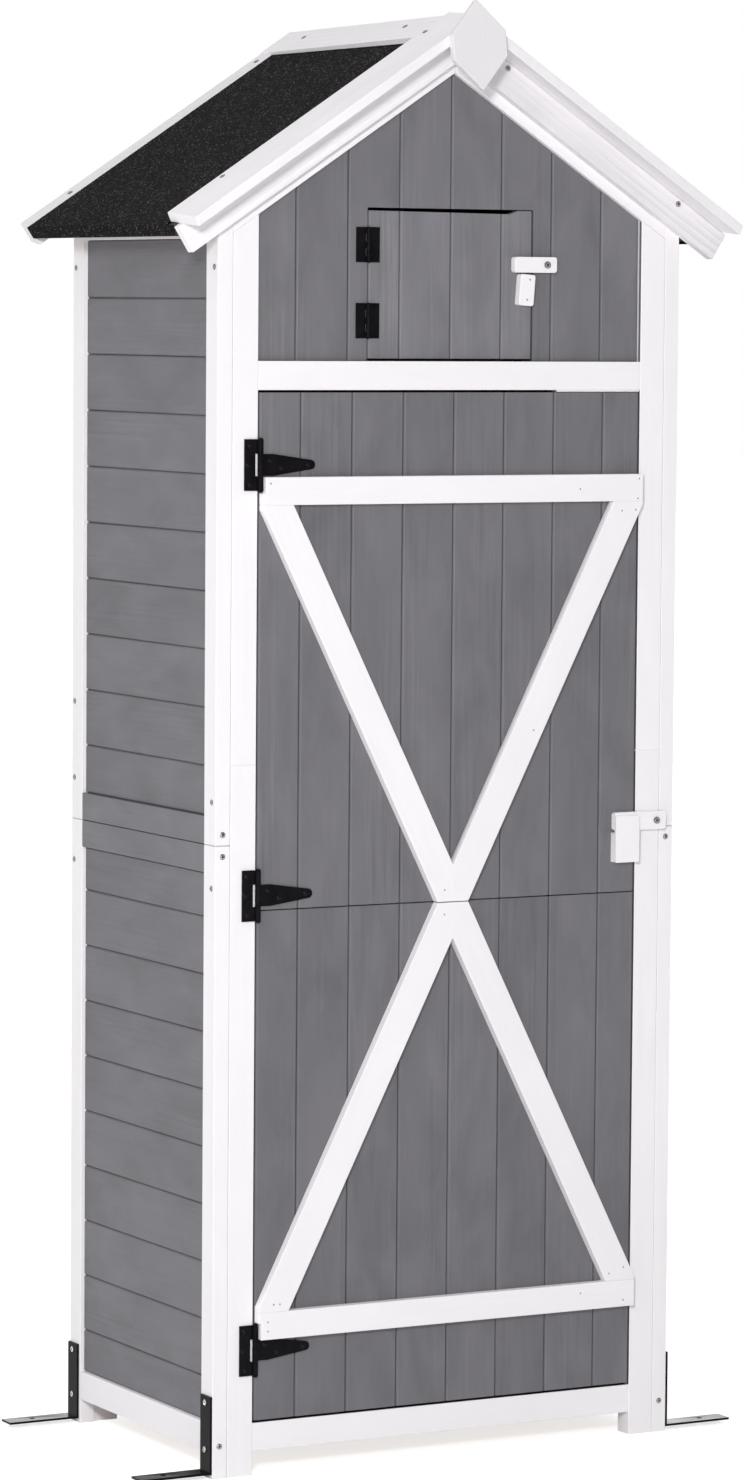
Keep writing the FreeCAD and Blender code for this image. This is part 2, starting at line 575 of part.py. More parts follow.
GABLE_EDGES = ["-stile_in", "-3 * gable_board", "-2 * gable_board", "-gable_board", "0",
               "gable_board", "2 * gable_board", "3 * gable_board", "stile_in"]
hatch_hole = ("hatch_left", "hatch_right"), ("-over", "stile_deep + over"), ("cross_high - over", "hatch_top")
boards = []
for k in range(8):
    plank = standing_board("gable_plank_%d" % k, GABLE_EDGES[k], GABLE_EDGES[k + 1],
                           "gable_recess", "cross_high", "gable_peak")
    space = gable_shape("gable_space_%d" % k, "-over", "stile_deep + over")
    plank = overlap("gable_trim_%d" % k, plank, space)
    if 2 <= k <= 5:
        plank = cut("gable_notch_%d" % k, plank, box("hatch_hole_%d" % k, *hatch_hole))
    boards.append(plank)
node("gable_boards", boards)
frame_y = ("gable_recess + board_thick", "gable_recess + board_thick + batten")
frame = [
    box("hatch_frame_left", ("hatch_left - hatch_clear - frame_batten", "hatch_left - hatch_clear"),
        frame_y, ("cross_high", "hatch_top + frame_over")),
    box("hatch_frame_right", ("hatch_right + hatch_clear", "hatch_right + hatch_clear + frame_batten"),
        frame_y, ("cross_high", "hatch_top + frame_over")),
    box("hatch_frame_top", ("hatch_left - hatch_clear", "hatch_right + hatch_clear"),
        frame_y, ("hatch_top + hatch_clear", "hatch_top + hatch_clear + frame_batten")),
]
node("hatch_frame", frame)

# Back panel: the same frame with fixed upright boards
back_face = "side_depth - gable_recess"
lower = []
upper = []
for sign in (-1, 1):
    x = spans(sign, "stile_in", STILE_OUT)
    lower.append(box(side("back_stile_low", sign), x, BACK, ("0", "stile_split")))
    upper.append(sloped_stile(side("back_stile_up", sign), sign, "stile_split", BACK))
    upper.append(rafter(side("back_rafter", sign), sign, BACK))
lower.append(box("back_bottom_rail", WHOLE, BACK, ("sill_low", "sill_high")))
lower.append(box("back_low_top_rail", WHOLE, BACK, ("stile_split - rail_tall", "stile_split")))
upper.append(box("back_up_low_rail", WHOLE, BACK, ("stile_split", "stile_split + rail_tall")))
upper.append(box("back_cross_rail", WHOLE, BACK, ("cross_low", "cross_high")))
node("back_lower_frame", lower)
node("back_upper_frame", upper)
lower = []
upper = []
for k in range(8):
    left, right = GABLE_EDGES[k], GABLE_EDGES[k + 1]
    lower.append(standing_board("back_low_%d" % k, left, right, back_face,
                                "sill_high", "stile_split - rail_tall", outward=1))
    upper.append(standing_board("back_up_%d" % k, left, right, back_face,
                                "stile_split + rail_tall", "cross_low", outward=1))
    plank = standing_board("back_gable_%d" % k, left, right, back_face,
                           "cross_high", "gable_peak", outward=1)
    space = gable_shape("back_space_%d" % k, BACK[0] + " - over", BACK[1] + " + over")
    upper.append(overlap("back_gable_trim_%d" % k, plank, space))
node("back_lower_boards", lower)
node("back_upper_boards", upper)

# Floor, shelf under the gable, and the battens that carry them
INNER_Y = ("stile_deep + inner_gap", "side_depth - stile_deep - inner_gap")


def lying_panel(name, low):
    """Eight boards side by side, from the front of the cabinet to the back."""
    boards = []
    for k in range(8):
        x = ("%d * floor_board + hairline" % (k - 4), "%d * floor_board - hairline" % (k - 3))
        boards.append(box("%s_%d" % (name, k), x, INNER_Y, (low, "%s + board_thick" % low)))
    return boards


node("floor_boards", lying_panel("floor", "floor_low"))
node("gable_shelf", lying_panel("shelf", "shelf_low"))
battens = []
for sign in (-1, 1):
    x = spans(sign, "half_width - post_across - batten", POST_IN)
    y = ("post_deep + inner_gap", "%s - inner_gap" % REAR_POST)
    battens.append(box(side("floor_batten", sign), x, y, ("floor_low - batten", "floor_low")))
    x = spans(sign, "half_width - side_recess - board_thick - batten", CLAD_IN)
    battens.append(box(side("shelf_batten", sign), x, y, ("shelf_low - batten", "shelf_low")))
node("shelf_battens", battens)
stop_x = ("door_right - stop_lap", "door_right - stop_lap + stop_wide")
stop_y = ("stile_deep", "stile_deep + board_thick")
node("door_stop", [box("stop", stop_x, stop_y, ("door_low + stop_clear", "door_high - stop_clear"))])


# Roof: deck, felt folded down at the eave, front and rear strips, fascia, ridge caps
def slope_piece(name, sign, top, bottom, end_high, end_low, start, end, rise="0"):
    """A sloping board mitred on the centre line, with its own end corners."""
    corners = [
        (across(sign, "hairline"), on_slope(bottom, "hairline")),
        (across(sign, end_low), on_slope(bottom, end_low)),
        (across(sign, end_high), on_slope(top, end_high)),
        (across(sign, "hairline"), on_slope(top, "hairline")),
    ]
    return prism(name, "XZ", corners, start, end, rise)


rear_strips = []
for sign in (-1, 1):
    deck_in = "deck_end - deck_tall * pitch / (1 + pitch * pitch)"
    deck = slope_piece(side("deck", sign), sign, "deck_high", "deck_low", "deck_end", deck_in,
                       "0", "rear_start")
    node(side("roof_deck", sign), [deck])
    fold = [
        (across(sign, "deck_end"), on_slope("deck_high", "deck_end")),
        (across(sign, "deck_end - felt_fold * pitch / slope_length"),
         "deck_high - pitch * deck_end - felt_fold / slope_length"),
        (across(sign, "felt_end - felt_fold * pitch / slope_length"),
         "felt_high - pitch * felt_end - felt_fold / slope_length"),
        (across(sign, "felt_end"), on_slope("felt_high", "felt_end")),
    ]
    whole = [("0", "felt_high"), ("0", "deck_high")] + fold
    felt = [prism(side("felt_sheet", sign), "XZ", whole, "felt_start", "rear_start"),
            prism(side("felt_front_fold", sign), "XZ", fold, "0", "felt_start")]
    node(side("roof_felt", sign), [join(side("felt", sign), felt)])
    fascia = slope_piece(side("fascia", sign), sign, "fascia_high", "fascia_low",
                         "fascia_end", "fascia_end - fascia_taper", "-fascia_thick", "0")
    node(side("fascia_board", sign), [fascia])
    strip = slope_piece(side("front_strip", sign), sign, "strip_low + strip_tall", "strip_low",
                        "deck_end", "deck_end - strip_taper", "strip_front", "strip_back", "strip_rise")
    node(side("front_roof_strip", sign), [strip])
    rear = slope_piece(side("rear_strip", sign), sign, "felt_high", "rear_low", "rear_end",
                       "rear_end - rear_taper", "rear_start", "rear_face", "rear_rise")
    rear_strips.append(rear)
    node(side("rear_roof_strip", sign), [rear])
caps = []
for sign, rear in zip((-1, 1), rear_strips):
    cap_low = "cap_half - (cap_tall + cap_fall) * pitch / (1 + pitch * pitch)"
    cap = slope_piece(side("cap", sign), sign, "cap_high", "felt_high - cap_fall", "cap_half", cap_low,
                      "felt_start", "rear_face", "-cap_fall")
    under = slope_piece(side("cap_under", sign), sign, "felt_high", "deck_low", "deck_end", "deck_end",
                        "felt_start - over", "rear_face + over")
    caps.append(cut(side("cap_seated", sign), cut(side("cap_bedded", sign), cap, under), rear))
node("ridge_caps", caps)

# Finial: a six-sided plate on the front of the roof strips, set slightly askew
LEAN = 5.8
hexagon = [("0", "finial_tall"), ("finial_wide", "finial_side"), ("finial_wide", "-finial_side"),
           ("0", "-finial_tall"), ("-finial_wide", "-finial_side"), ("-finial_wide", "finial_side")]


def turned_prism(name, outline, x, z, degrees, start, end):
    """A flat outline drawn upright about its own centre, then turned and moved into place."""
    piece = prism(name, "XZ", outline, "0", minus(end, start))
    piece.Placement = FreeCAD.Placement(FreeCAD.Vector(), FreeCAD.Rotation(FreeCAD.Vector(0, -1, 0), degrees))
    return at(piece, x, start, z)


node("finial_plate", [turned_prism("finial", hexagon, "finial_x", "finial_z", LEAN,
                                   "finial_face", "strip_front")])

# Door: two halves of upright boards, with rails and braces on the face
door_edges = ["door_left"]
for k in range(-3, 4):
    door_edges.append("door_joint + (%d) * door_board" % k)
door_edges.append("door_right")
lower = []
upper = []
for k in range(8):
    left, right = door_edges[k], door_edges[k + 1]
    lower.append(standing_board("door_low_%d" % k, left, right, "0", "door_low", "door_seam - seam_half"))
    upper.append(standing_board("door_up_%d" % k, left, right, "0", "door_seam + seam_half", "door_high"))
node("door_lower_boards", lower)
node("door_upper_boards", upper)
FACE = ("-brace_proud", "0")
door_x = ("door_left", "door_right")
notch_x = ("door_left - over", "door_left + knuckle_room")
notch_y = ("-brace_proud - over", "over")
rails = []
for name, z, notch_z in (
        ("door_top_rail", ("top_rail_low", "top_rail_high"),
         ("hinge_top - plate_tall / 2 - plate_room", "hinge_top + plate_tall / 2")),
        ("door_low_rail", ("low_rail_low", "low_rail_high"),
         ("hinge_low - plate_tall / 2", "hinge_low + plate_tall / 2 + plate_room"))):
    notch = box(name + "_notch", notch_x, notch_y, notch_z)
    rails.append(cut(name + "_notched", box(name, door_x, FACE, z), notch))
node("door_rails", rails)


def brace_pair(name, way, rail, wide, corner):
    """Two braces as one piece: from the seam they rise or fall to a rail at the door's edges."""
    seam = "door_seam + (%d) * seam_half" % way
    slope = "((%d) * (%s - door_seam) - brace_end) / (door_right - brace_out_seam)" % (way, rail)
    reach = "door_seam + (%d) * (%s - brace_out_seam) * %s"
    corners = [
        (across(-1, minus("door_right", wide)), rail),
        ("0", corner),
        (minus("door_right", wide), rail),
        ("door_right", rail),
        ("door_right", reach % (way, "door_right", slope)),
        ("brace_out_seam", seam),
        ("-brace_out_seam", seam),
        ("door_left", reach % (way, "-door_left", slope)),
        ("door_left", rail),
    ]
    return prism(name, "XZ", corners, FACE[0], FACE[1])


node("door_braces", [
    brace_pair("upper_braces", 1, "top_rail_low", "brace_wide_top", "door_seam + brace_in_lift"),
    brace_pair("lower_braces", -1, "low_rail_high", "brace_wide_foot", "door_seam - low_in_drop"),
])
ledge_y = ("board_thick", "board_thick + ledge_deep")
ledge_x = ("door_left + ledge_set", "door_right - ledge_end")
ledges = []
for k, low in enumerate(("low_rail_low", "door_seam - ledge_seam - ledge_tall",
                         "door_seam + ledge_seam", "top_rail_low")):
    ledges.append(box("door_ledge_%d" % k, ledge_x, ledge_y, (low, "%s + ledge_tall" % low)))
splint_y = (ledge_y[1], "%s + board_thick" % ledge_y[1])
for sign in (-1, 1):
    x = spans(sign, "splint_at - ledge_tall / 2", "splint_at + ledge_tall / 2")
    z = ("door_seam - splint_half", "door_seam + splint_half")
    ledges.append(box(side("door_splint", sign), x, splint_y, z))
node("door_ledges", ledges)

# Door handle block with the open rebate that the turn bar drops into
block_x = ("door_right - block_wide", "door_right")
block = box("block", block_x, ("-block_proud", "0"), ("block_low", "block_high"))
rebate = box("rebate", (block_x[0] + " - over", block_x[1] + " + over"), ("-rebate_deep", "over"),
             ("rebate_low", "block_high + over"))
node("door_handle_block", [cut("block_cut", block, rebate)])

# Tee hinges: fixed plates with two knuckles, straps with the middle knuckle, pins
PLATE_IN = "pin_x - knuckle - plate_notch"
NOTCH = "strap_tall / 2 + 2 * knuckle_gap"


def ring(name, low, high):
    """A hinge knuckle on the door's hinge line."""
    return rod(name, "z", "knuckle", "pin_x", "pin_y", low, minus(high, low))


plates = []
straps = []
pins = []
for k, height in enumerate(("hinge_top", "hinge_mid", "hinge_low")):
    low = "%s - plate_tall / 2" % height
    high = "%s + plate_tall / 2" % height
    steel_y = ("-plate_thick", "0")
    parts = [box("plate_leaf_%d" % k, ("pin_x - plate_wide", PLATE_IN), steel_y, (low, high))]
    thirds = (("low", (low, "%s - (%s)" % (height, NOTCH))), ("high", ("%s + %s" % (height, NOTCH), high)))
    for tag, z in thirds:
        parts.append(ring("plate_knuckle_%s_%d" % (tag, k), z[0], z[1]))
        parts.append(box("plate_web_%s_%d" % (tag, k), (PLATE_IN, "pin_x"), steel_y, z))
    bore = rod("plate_bore_%d" % k, "z", "bore_radius", "pin_x", "pin_y", low, "plate_tall")
    plates.append(cut("hinge_plate_%d" % k, join("plate_body_%d" % k, parts), bore))
    strap_low = "%s - strap_tall / 2" % height
    strap_high = "%s + strap_tall / 2" % height
    corners = [
        ("pin_x", strap_low),
        ("pin_x + strap_even", strap_low),
        ("pin_x + strap_long", "%s - strap_tip" % height),
        ("pin_x + strap_long", "%s + strap_tip" % height),
        ("pin_x + strap_even", strap_high),
        ("pin_x", strap_high),
    ]
    blade = prism("strap_blade_%d" % k, "XZ", corners, steel_y[0], steel_y[1])
    tip = rod("strap_end_%d" % k, "y", "strap_tip", "pin_x + strap_long", steel_y[0], height, "plate_thick")
    middle = ring("strap_knuckle_%d" % k, strap_low, strap_high)
    bore = rod("strap_bore_%d" % k, "z", "bore_radius", "pin_x", "pin_y", strap_low, "strap_tall")
    straps.append(cut("hinge_strap_%d" % k, join("strap_body_%d" % k, [blade, tip, middle]), bore))
    pin = rod("hinge_pin_%d" % k, "z", "pin_radius", "pin_x", "pin_y", low, "plate_tall")
    foot = rod("pin_foot_%d" % k, "z", "pin_head_radius", "pin_x", "pin_y", "%s - pin_head" % low, "pin_head")
    head = rod("pin_head_%d" % k, "z", "pin_head_radius", "pin_x", "pin_y", high, "pin_head")
    pins.append(join("hinge_pin_whole_%d" % k, [pin, foot, head]))
node("door_hinge_plates", plates)
node("door_hinge_straps", straps)
node("door_hinge_pins", pins)

# Door turn bar on its screw
bar_x = ("bar_pivot - bar_reach", "bar_pivot + bar_tail")
bar_y = ("-slack - bar_thick", "-slack")
bar = box("door_bar", bar_x, bar_y, ("bar_z - bar_tall / 2", "bar_z + bar_tall / 2"))
hole = rod("door_bar_hole", "y", "screw_hole", "bar_pivot", bar_y[0], "bar_z", "bar_thick")
node("door_turn_bar", [cut("door_bar_cut", bar, hole)])


def pivot_screw(name, x, face, z, thick):
    """A round-headed screw that stands out of a face and carries a turn bar."""
    under = "%s - %s - 2 * slack" % (face, thick)
    shank = rod(name + "_shank", "y", "screw_radius", x, under, z, "%s + 2 * slack" % thick)
    head = rod(name + "_head", "y", "screw_head", x, "%s - screw_head_thick" % under, z, "screw_head_thick")
    return join(name, [shank, head])


node("turn_bar_screws", [
    pivot_screw("door_bar_screw", "bar_pivot", "0", "bar_z", "bar_thick"),
    pivot_screw("hatch_bar_screw", "turn_pivot", "gable_recess", "turn_z", "turn_thick"),
])

# Hatch in the gable: boards, inner battens, handle and butt hinges
hatch_x = ("hatch_left + hatch_gap", "hatch_right - hatch_clear")
hatch_z = ("cross_high + hatch_floor", "hatch_top - hatch_clear")
hatch_edges = [hatch_x[0], "-gable_board", "0", "gable_board", hatch_x[1]]
dip_x = "hatch_right - dip_in"
hatch_outline = [
    ("hatch_left - over", hatch_z[0]),
    ("hatch_right + over", hatch_z[0]),
    ("hatch_right + over", hatch_z[1]),
    (dip_x + " + dip_run", hatch_z[1]),
    (dip_x, "hatch_top - dip_end"),
    (hatch_x[0], "hatch_top - dip_start"),
    ("hatch_left - over", "hatch_top - dip_start"),
]
boards = []
for k in range(4):
    plank = standing_board("hatch_plank_%d" % k, hatch_edges[k], hatch_edges[k + 1], "gable_recess",
                           hatch_z[0], hatch_z[1])
    space = prism("hatch_space_%d" % k, "XZ", hatch_outline, "-over", "stile_deep + over")
    boards.append(overlap("hatch_trim_%d" % k, plank, space))
node("hatch_boards", boards)
back_y = ("gable_recess + board_thick", "gable_recess + board_thick + ledge_deep")
ledge_x = ("%s + ledge_end" % hatch_x[0], "%s - ledge_end" % hatch_x[1])
hatch_middle = "(cross_high + hatch_top) / 2"
ledges = []
for tag, place in (("low", "-hatch_ledge_at"), ("high", "hatch_ledge_at")):
    middle = "%s + %s" % (hatch_middle, place)
    z = ("%s - ledge_tall / 2" % middle, "%s + ledge_tall / 2" % middle)
    ledges.append(box("hatch_ledge_" + tag, ledge_x, back_y, z))
node("hatch_ledges", ledges)
tab_outline = [("-tab_wide / 2", "-tab_tall / 2"), ("tab_wide / 2", "-tab_tall / 2"),
               ("tab_wide / 2", "tab_tall / 2"), ("-tab_wide / 2", "tab_tall / 2")]
TAB_LEAN = -4.3
tab = turned_prism("tab", tab_outline, "hatch_right - tab_in", "turn_z - tab_drop", TAB_LEAN,
                   "gable_recess - tab_proud", "gable_recess")
node("hatch_handle", [tab])
fixed = []
moving = []
PIN_Y = "gable_recess - butt_knuckle"
for k, height in enumerate(("butt_low", "butt_top")):
    low = "%s - leaf_tall / 2" % height
    high = "%s + leaf_tall / 2" % height
    fifth = "leaf_tall / 5"
    for group, sign, cells in ((fixed, -1, (0, 2, 4)), (moving, 1, (1, 3))):
        tag = "%d_%s" % (k, "fixed" if sign < 0 else "moving")
        x = ("hatch_left - leaf_wide", "hatch_left - butt_knuckle - knuckle_gap")
        if sign > 0:
            x = ("hatch_left + butt_knuckle + knuckle_gap", "hatch_left + leaf_wide")
        leaf_y = ("gable_recess - leaf_thick", "gable_recess")
        parts = [box("leaf_" + tag, x, leaf_y, (low, high))]
        for cell in cells:
            base = "%s + %d * %s" % (low, cell, fifth)
            tall = fifth
            if sign > 0:
                base += " + leaf_gap"
                tall = fifth + " - 2 * leaf_gap"
            name = "%s_%d" % (tag, cell)
            parts.append(rod("butt_knuckle_" + name, "z", "butt_knuckle", "hatch_left", PIN_Y, base, tall))
            web = ("hatch_left - butt_knuckle - knuckle_gap", "hatch_left")
            if sign > 0:
                web = ("hatch_left", "hatch_left + butt_knuckle + knuckle_gap")
            parts.append(box("butt_web_" + name, web, leaf_y, (base, "%s + %s" % (base, tall))))
        bore = rod("butt_bore_" + tag, "z", "butt_bore", "hatch_left", PIN_Y, "%s - over" % low,
                   "leaf_tall + 2 * over")
        group.append(cut("butt_leaf_" + tag, join("butt_body_" + tag, parts), bore))
    fixed.append(rod("butt_pin_%d" % k, "z", "butt_pin", "hatch_left", PIN_Y, "%s - butt_pin_proud" % low,
                     "leaf_tall + 2 * butt_pin_proud"))
node("hatch_hinge_fixed", fixed)
node("hatch_hinge_leaves", moving)
turn_y = ("gable_recess - slack - turn_thick", "gable_recess - slack")
turn = box("hatch_bar", ("turn_pivot - turn_reach", "turn_pivot + turn_tail"), turn_y,
           ("turn_z - turn_tall / 2", "turn_z + turn_tall / 2"))
hole = rod("hatch_bar_hole", "y", "screw_hole", "turn_pivot", turn_y[0], "turn_z", "turn_thick")
node("hatch_turn_bar", [cut("hatch_bar_cut", turn, hole)])

# Anchor brackets: one leg on the outer face of a post, one foot pointing outwards
FOOT_HOLE = "half_width + bracket_tall - foot_hole_in"
BRACKET_SCREWS = ("bracket_low + bracket_screw_lift", "bracket_low + bracket_tall - bracket_screw_drop")
brackets = []
bracket_screws = []
for sign in (-1, 1):
    for name, start in (("front", "0"), ("rear", "side_depth - bracket_wide")):
        tag = side("bracket_" + name, sign)
        y = (start, "%s + bracket_wide" % start)
        corners = [
            (across(sign, "half_width"), "bracket_low"),
            (across(sign, "half_width + bracket_tall"), "bracket_low"),
            (across(sign, "half_width + bracket_tall"), "bracket_low + bracket_thick"),
            (across(sign, "half_width + bracket_thick"), "bracket_low + bracket_thick"),
            (across(sign, "half_width + bracket_thick"), "bracket_low + bracket_tall"),
            (across(sign, "half_width"), "bracket_low + bracket_tall"),
        ]
        steel = prism(tag, "XZ", corners, y[0], y[1])
        middle = "%s + bracket_wide / 2" % start
        hole = rod(tag + "_hole", "z", "foot_hole", across(sign, FOOT_HOLE), middle, "bracket_low - over",
                   "bracket_thick + 2 * over")
        brackets.append(cut(tag + "_cut", steel, hole))
        for k, height in enumerate(BRACKET_SCREWS):
            x = "half_width + bracket_thick"
            base = across(sign, x if sign > 0 else x + " + bracket_head_thick")
            bracket_screws.append(rod("%s_screw_%d" % (tag, k), "x", "bracket_head", base, middle, height,
                                      "bracket_head_thick"))
node("anchor_brackets", brackets)
node("bracket_screws", bracket_screws)

# Screw heads on the frame, the roof and the hinges: each list gives the places on one face
HEAD_SCREW = "side_head_low - head_screw_drop"
FRONT_Y = "post_deep / 3"
REAR_Y = "side_depth - post_deep / 4"
OVER_SPLIT = "side_split + seam_screw"
UNDER_SPLIT = "side_split - seam_screw"
SIDE_SCREWS = ((FRONT_Y, HEAD_SCREW), (FRONT_Y, OVER_SPLIT), (FRONT_Y, UNDER_SPLIT), (REAR_Y, HEAD_SCREW),
               (REAR_Y, "stile_split + seam_screw"), (REAR_Y, OVER_SPLIT), (REAR_Y, UNDER_SPLIT))
FRONT_SCREWS = ((-1, "side_split + post_screw_drop"), (-1, "side_split - post_screw_drop"),
                (-1, "foot_screw_lift"), (1, "side_split - post_screw_drop"), (1, "foot_screw_lift"))
FASCIA_SCREWS = ("fascia_screw_in", "fascia_screw_out")
PLATE_SCREWS = (("-0.7 * plate_wide", "0.385"), ("-0.8 * plate_wide", "0"), ("-0.65 * plate_wide", "-0.385"))
POST_MIDDLE = "(half_width - post_across / 2)"
heads = []
for sign in (-1, 1):
    for k, (y, z) in enumerate(SIDE_SCREWS):
        x = across(sign, "half_width" if sign > 0 else "half_width + head_thick")
        heads.append(rod(side("side_screw_%d" % k, sign), "x", "head_radius", x, y, z, "head_thick"))
    for k, x in enumerate(FASCIA_SCREWS):
        z = on_slope("fascia_high - fascia_screw_drop", x)
        heads.append(rod(side("fascia_screw_%d" % k, sign), "y", "head_radius", across(sign, x),
                         "-fascia_thick - head_thick", z, "head_thick"))
for k, (sign, z) in enumerate(FRONT_SCREWS):
    heads.append(rod("front_screw_%d" % k, "y", "head_radius", across(sign, POST_MIDDLE), "-head_thick", z,
                     "head_thick"))
for k, height in enumerate(("hinge_top", "hinge_mid", "hinge_low")):
    for j, (x, share) in enumerate(PLATE_SCREWS):
        heads.append(rod("plate_screw_%d_%d" % (k, j), "y", "plate_screw", "pin_x + " + x,
                         "-plate_thick - plate_screw_thick", "%s + (%s) * plate_tall" % (height, share),
                         "plate_screw_thick"))


def roof_head(name, sign, x, y, z, rise, run):
    """A screw head lying on a roof slope that also climbs towards the back by rise over run."""
    head = doc.addObject("Part::Cylinder", name)
    normal = FreeCAD.Vector(sign * value("pitch"), -value(rise) / value(run), 1)
    head.Placement = FreeCAD.Placement(FreeCAD.Vector(), FreeCAD.Rotation(FreeCAD.Vector(0, 0, 1), normal))
    bind(head, {"Radius": "head_radius", "Height": "head_thick"})
    return at(head, across(sign, x), y, z)


STRIP_RUN = minus("strip_back", "strip_front")
CAP_RUN = minus("rear_face", "felt_start")
for sign in (-1, 1):
    for k, x in enumerate(("strip_screw_in", "strip_screw_out")):
        z = on_slope("strip_low + strip_tall + strip_rise - strip_slant * strip_screw_back", x)
        heads.append(roof_head(side("strip_screw_%d" % k, sign), sign, x, "strip_back - strip_screw_back", z,
                               "strip_rise", STRIP_RUN))
    for k, x in enumerate(("rear_screw_in", "rear_screw_out")):
        heads.append(roof_head(side("rear_screw_%d" % k, sign), sign, x, "rear_start + rear_deep / 2",
                               on_slope("felt_high + rear_rise / 2", x), "rear_rise", "rear_deep"))
    for k, y in enumerate(("felt_start + cap_screw_front", "rear_face - cap_screw_rear")):
        name = side("cap_screw_%d" % k, sign)
        top = "cap_high - cap_fall * (%s - felt_start) / (%s)" % (y, CAP_RUN)
        heads.append(roof_head(name, sign, "cap_screw_side", y, on_slope(top, "cap_screw_side"),
                               "-cap_fall", CAP_RUN))
node("frame_screws", heads)
STRAP_SCREWS = ((0.2, 0.22), (0.42, -0.15), (0.95, 0))
strap_heads = []
for k, height in enumerate(("hinge_top", "hinge_mid", "hinge_low")):
    for j, (share, rise) in enumerate(STRAP_SCREWS):
        strap_heads.append(rod("strap_screw_%d_%d" % (k, j), "y", "plate_screw",
                               "pin_x + %s * strap_long" % share, "-plate_thick - plate_screw_thick",
                               "%s + (%s) * strap_tall" % (height, rise), "plate_screw_thick"))
node("strap_screws", strap_heads)

# Checks, then one file for each sub-part
doc.recompute()
for obj in doc.Objects:
    if "Invalid" in obj.State or "Error" in obj.State:
        raise RuntimeError("failed: %s %s" % (obj.Name, obj.State))
for label, group in NODES.items():
    shape = group.Shape
    if shape.isNull() or not shape.isValid() or not shape.Solids:
        raise RuntimeError("bad shape: " + label)
for label, group in NODES.items():
    group.Shape.exportStep("parts/%s.step" % label)
total = Part.makeCompound([group.Shape for group in NODES.values()]).BoundBox
print("nodes", len(NODES), "box", total)
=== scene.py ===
import json
import math
import zlib

import bmesh
import bpy
import numpy as np
from mathutils import Matrix, Vector


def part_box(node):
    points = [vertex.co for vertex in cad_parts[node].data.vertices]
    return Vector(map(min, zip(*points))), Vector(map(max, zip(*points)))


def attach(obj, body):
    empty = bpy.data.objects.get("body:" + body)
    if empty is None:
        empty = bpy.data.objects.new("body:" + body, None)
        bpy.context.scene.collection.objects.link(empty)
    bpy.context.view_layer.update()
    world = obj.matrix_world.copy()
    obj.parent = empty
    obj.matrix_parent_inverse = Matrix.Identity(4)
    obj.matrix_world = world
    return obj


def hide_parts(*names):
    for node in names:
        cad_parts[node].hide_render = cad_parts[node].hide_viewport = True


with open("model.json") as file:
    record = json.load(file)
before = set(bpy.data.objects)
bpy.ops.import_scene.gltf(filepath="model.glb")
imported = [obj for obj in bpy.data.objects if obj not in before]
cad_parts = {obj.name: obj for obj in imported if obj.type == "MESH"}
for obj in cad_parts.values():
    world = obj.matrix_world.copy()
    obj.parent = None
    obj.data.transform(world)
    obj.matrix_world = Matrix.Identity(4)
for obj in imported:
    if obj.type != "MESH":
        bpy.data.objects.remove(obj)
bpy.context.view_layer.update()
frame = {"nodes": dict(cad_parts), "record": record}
NODES = frame["nodes"]
BODY_OF = {node: body for body, nodes in frame["record"]["behaviour"]["bodies"].items() for node in nodes}
SLOT_OF = {part["node"]: part["material_slot"] for part in frame["record"]["subparts"]}

# All lengths are in metres. X runs to the right, Y to the back, Z up.
MM = 0.001


# Shader maths


class Value:
    """A number or colour that varies over a surface; arithmetic on it adds Math nodes."""

    def __init__(self, recipe, socket):
        self.recipe = recipe
        self.socket = socket

    def maths(self, operation, first, second):
        return self.recipe.node("ShaderNodeMath", {"operation": operation}, {0: first, 1: second})

    def __add__(self, other):
        return self.maths("ADD", self, other)

    def __radd__(self, other):
        return self.maths("ADD", other, self)

    def __sub__(self, other):
        return self.maths("SUBTRACT", self, other)

    def __rsub__(self, other):
        return self.maths("SUBTRACT", other, self)

    def __mul__(self, other):
        return self.maths("MULTIPLY", self, other)

    def __rmul__(self, other):
        return self.maths("MULTIPLY", other, self)

    def larger(self, other):
        """The larger of this value and another."""
        return self.maths("MAXIMUM", self, other)

    def unsigned(self):
        return self.maths("ABSOLUTE", self, 0.0)


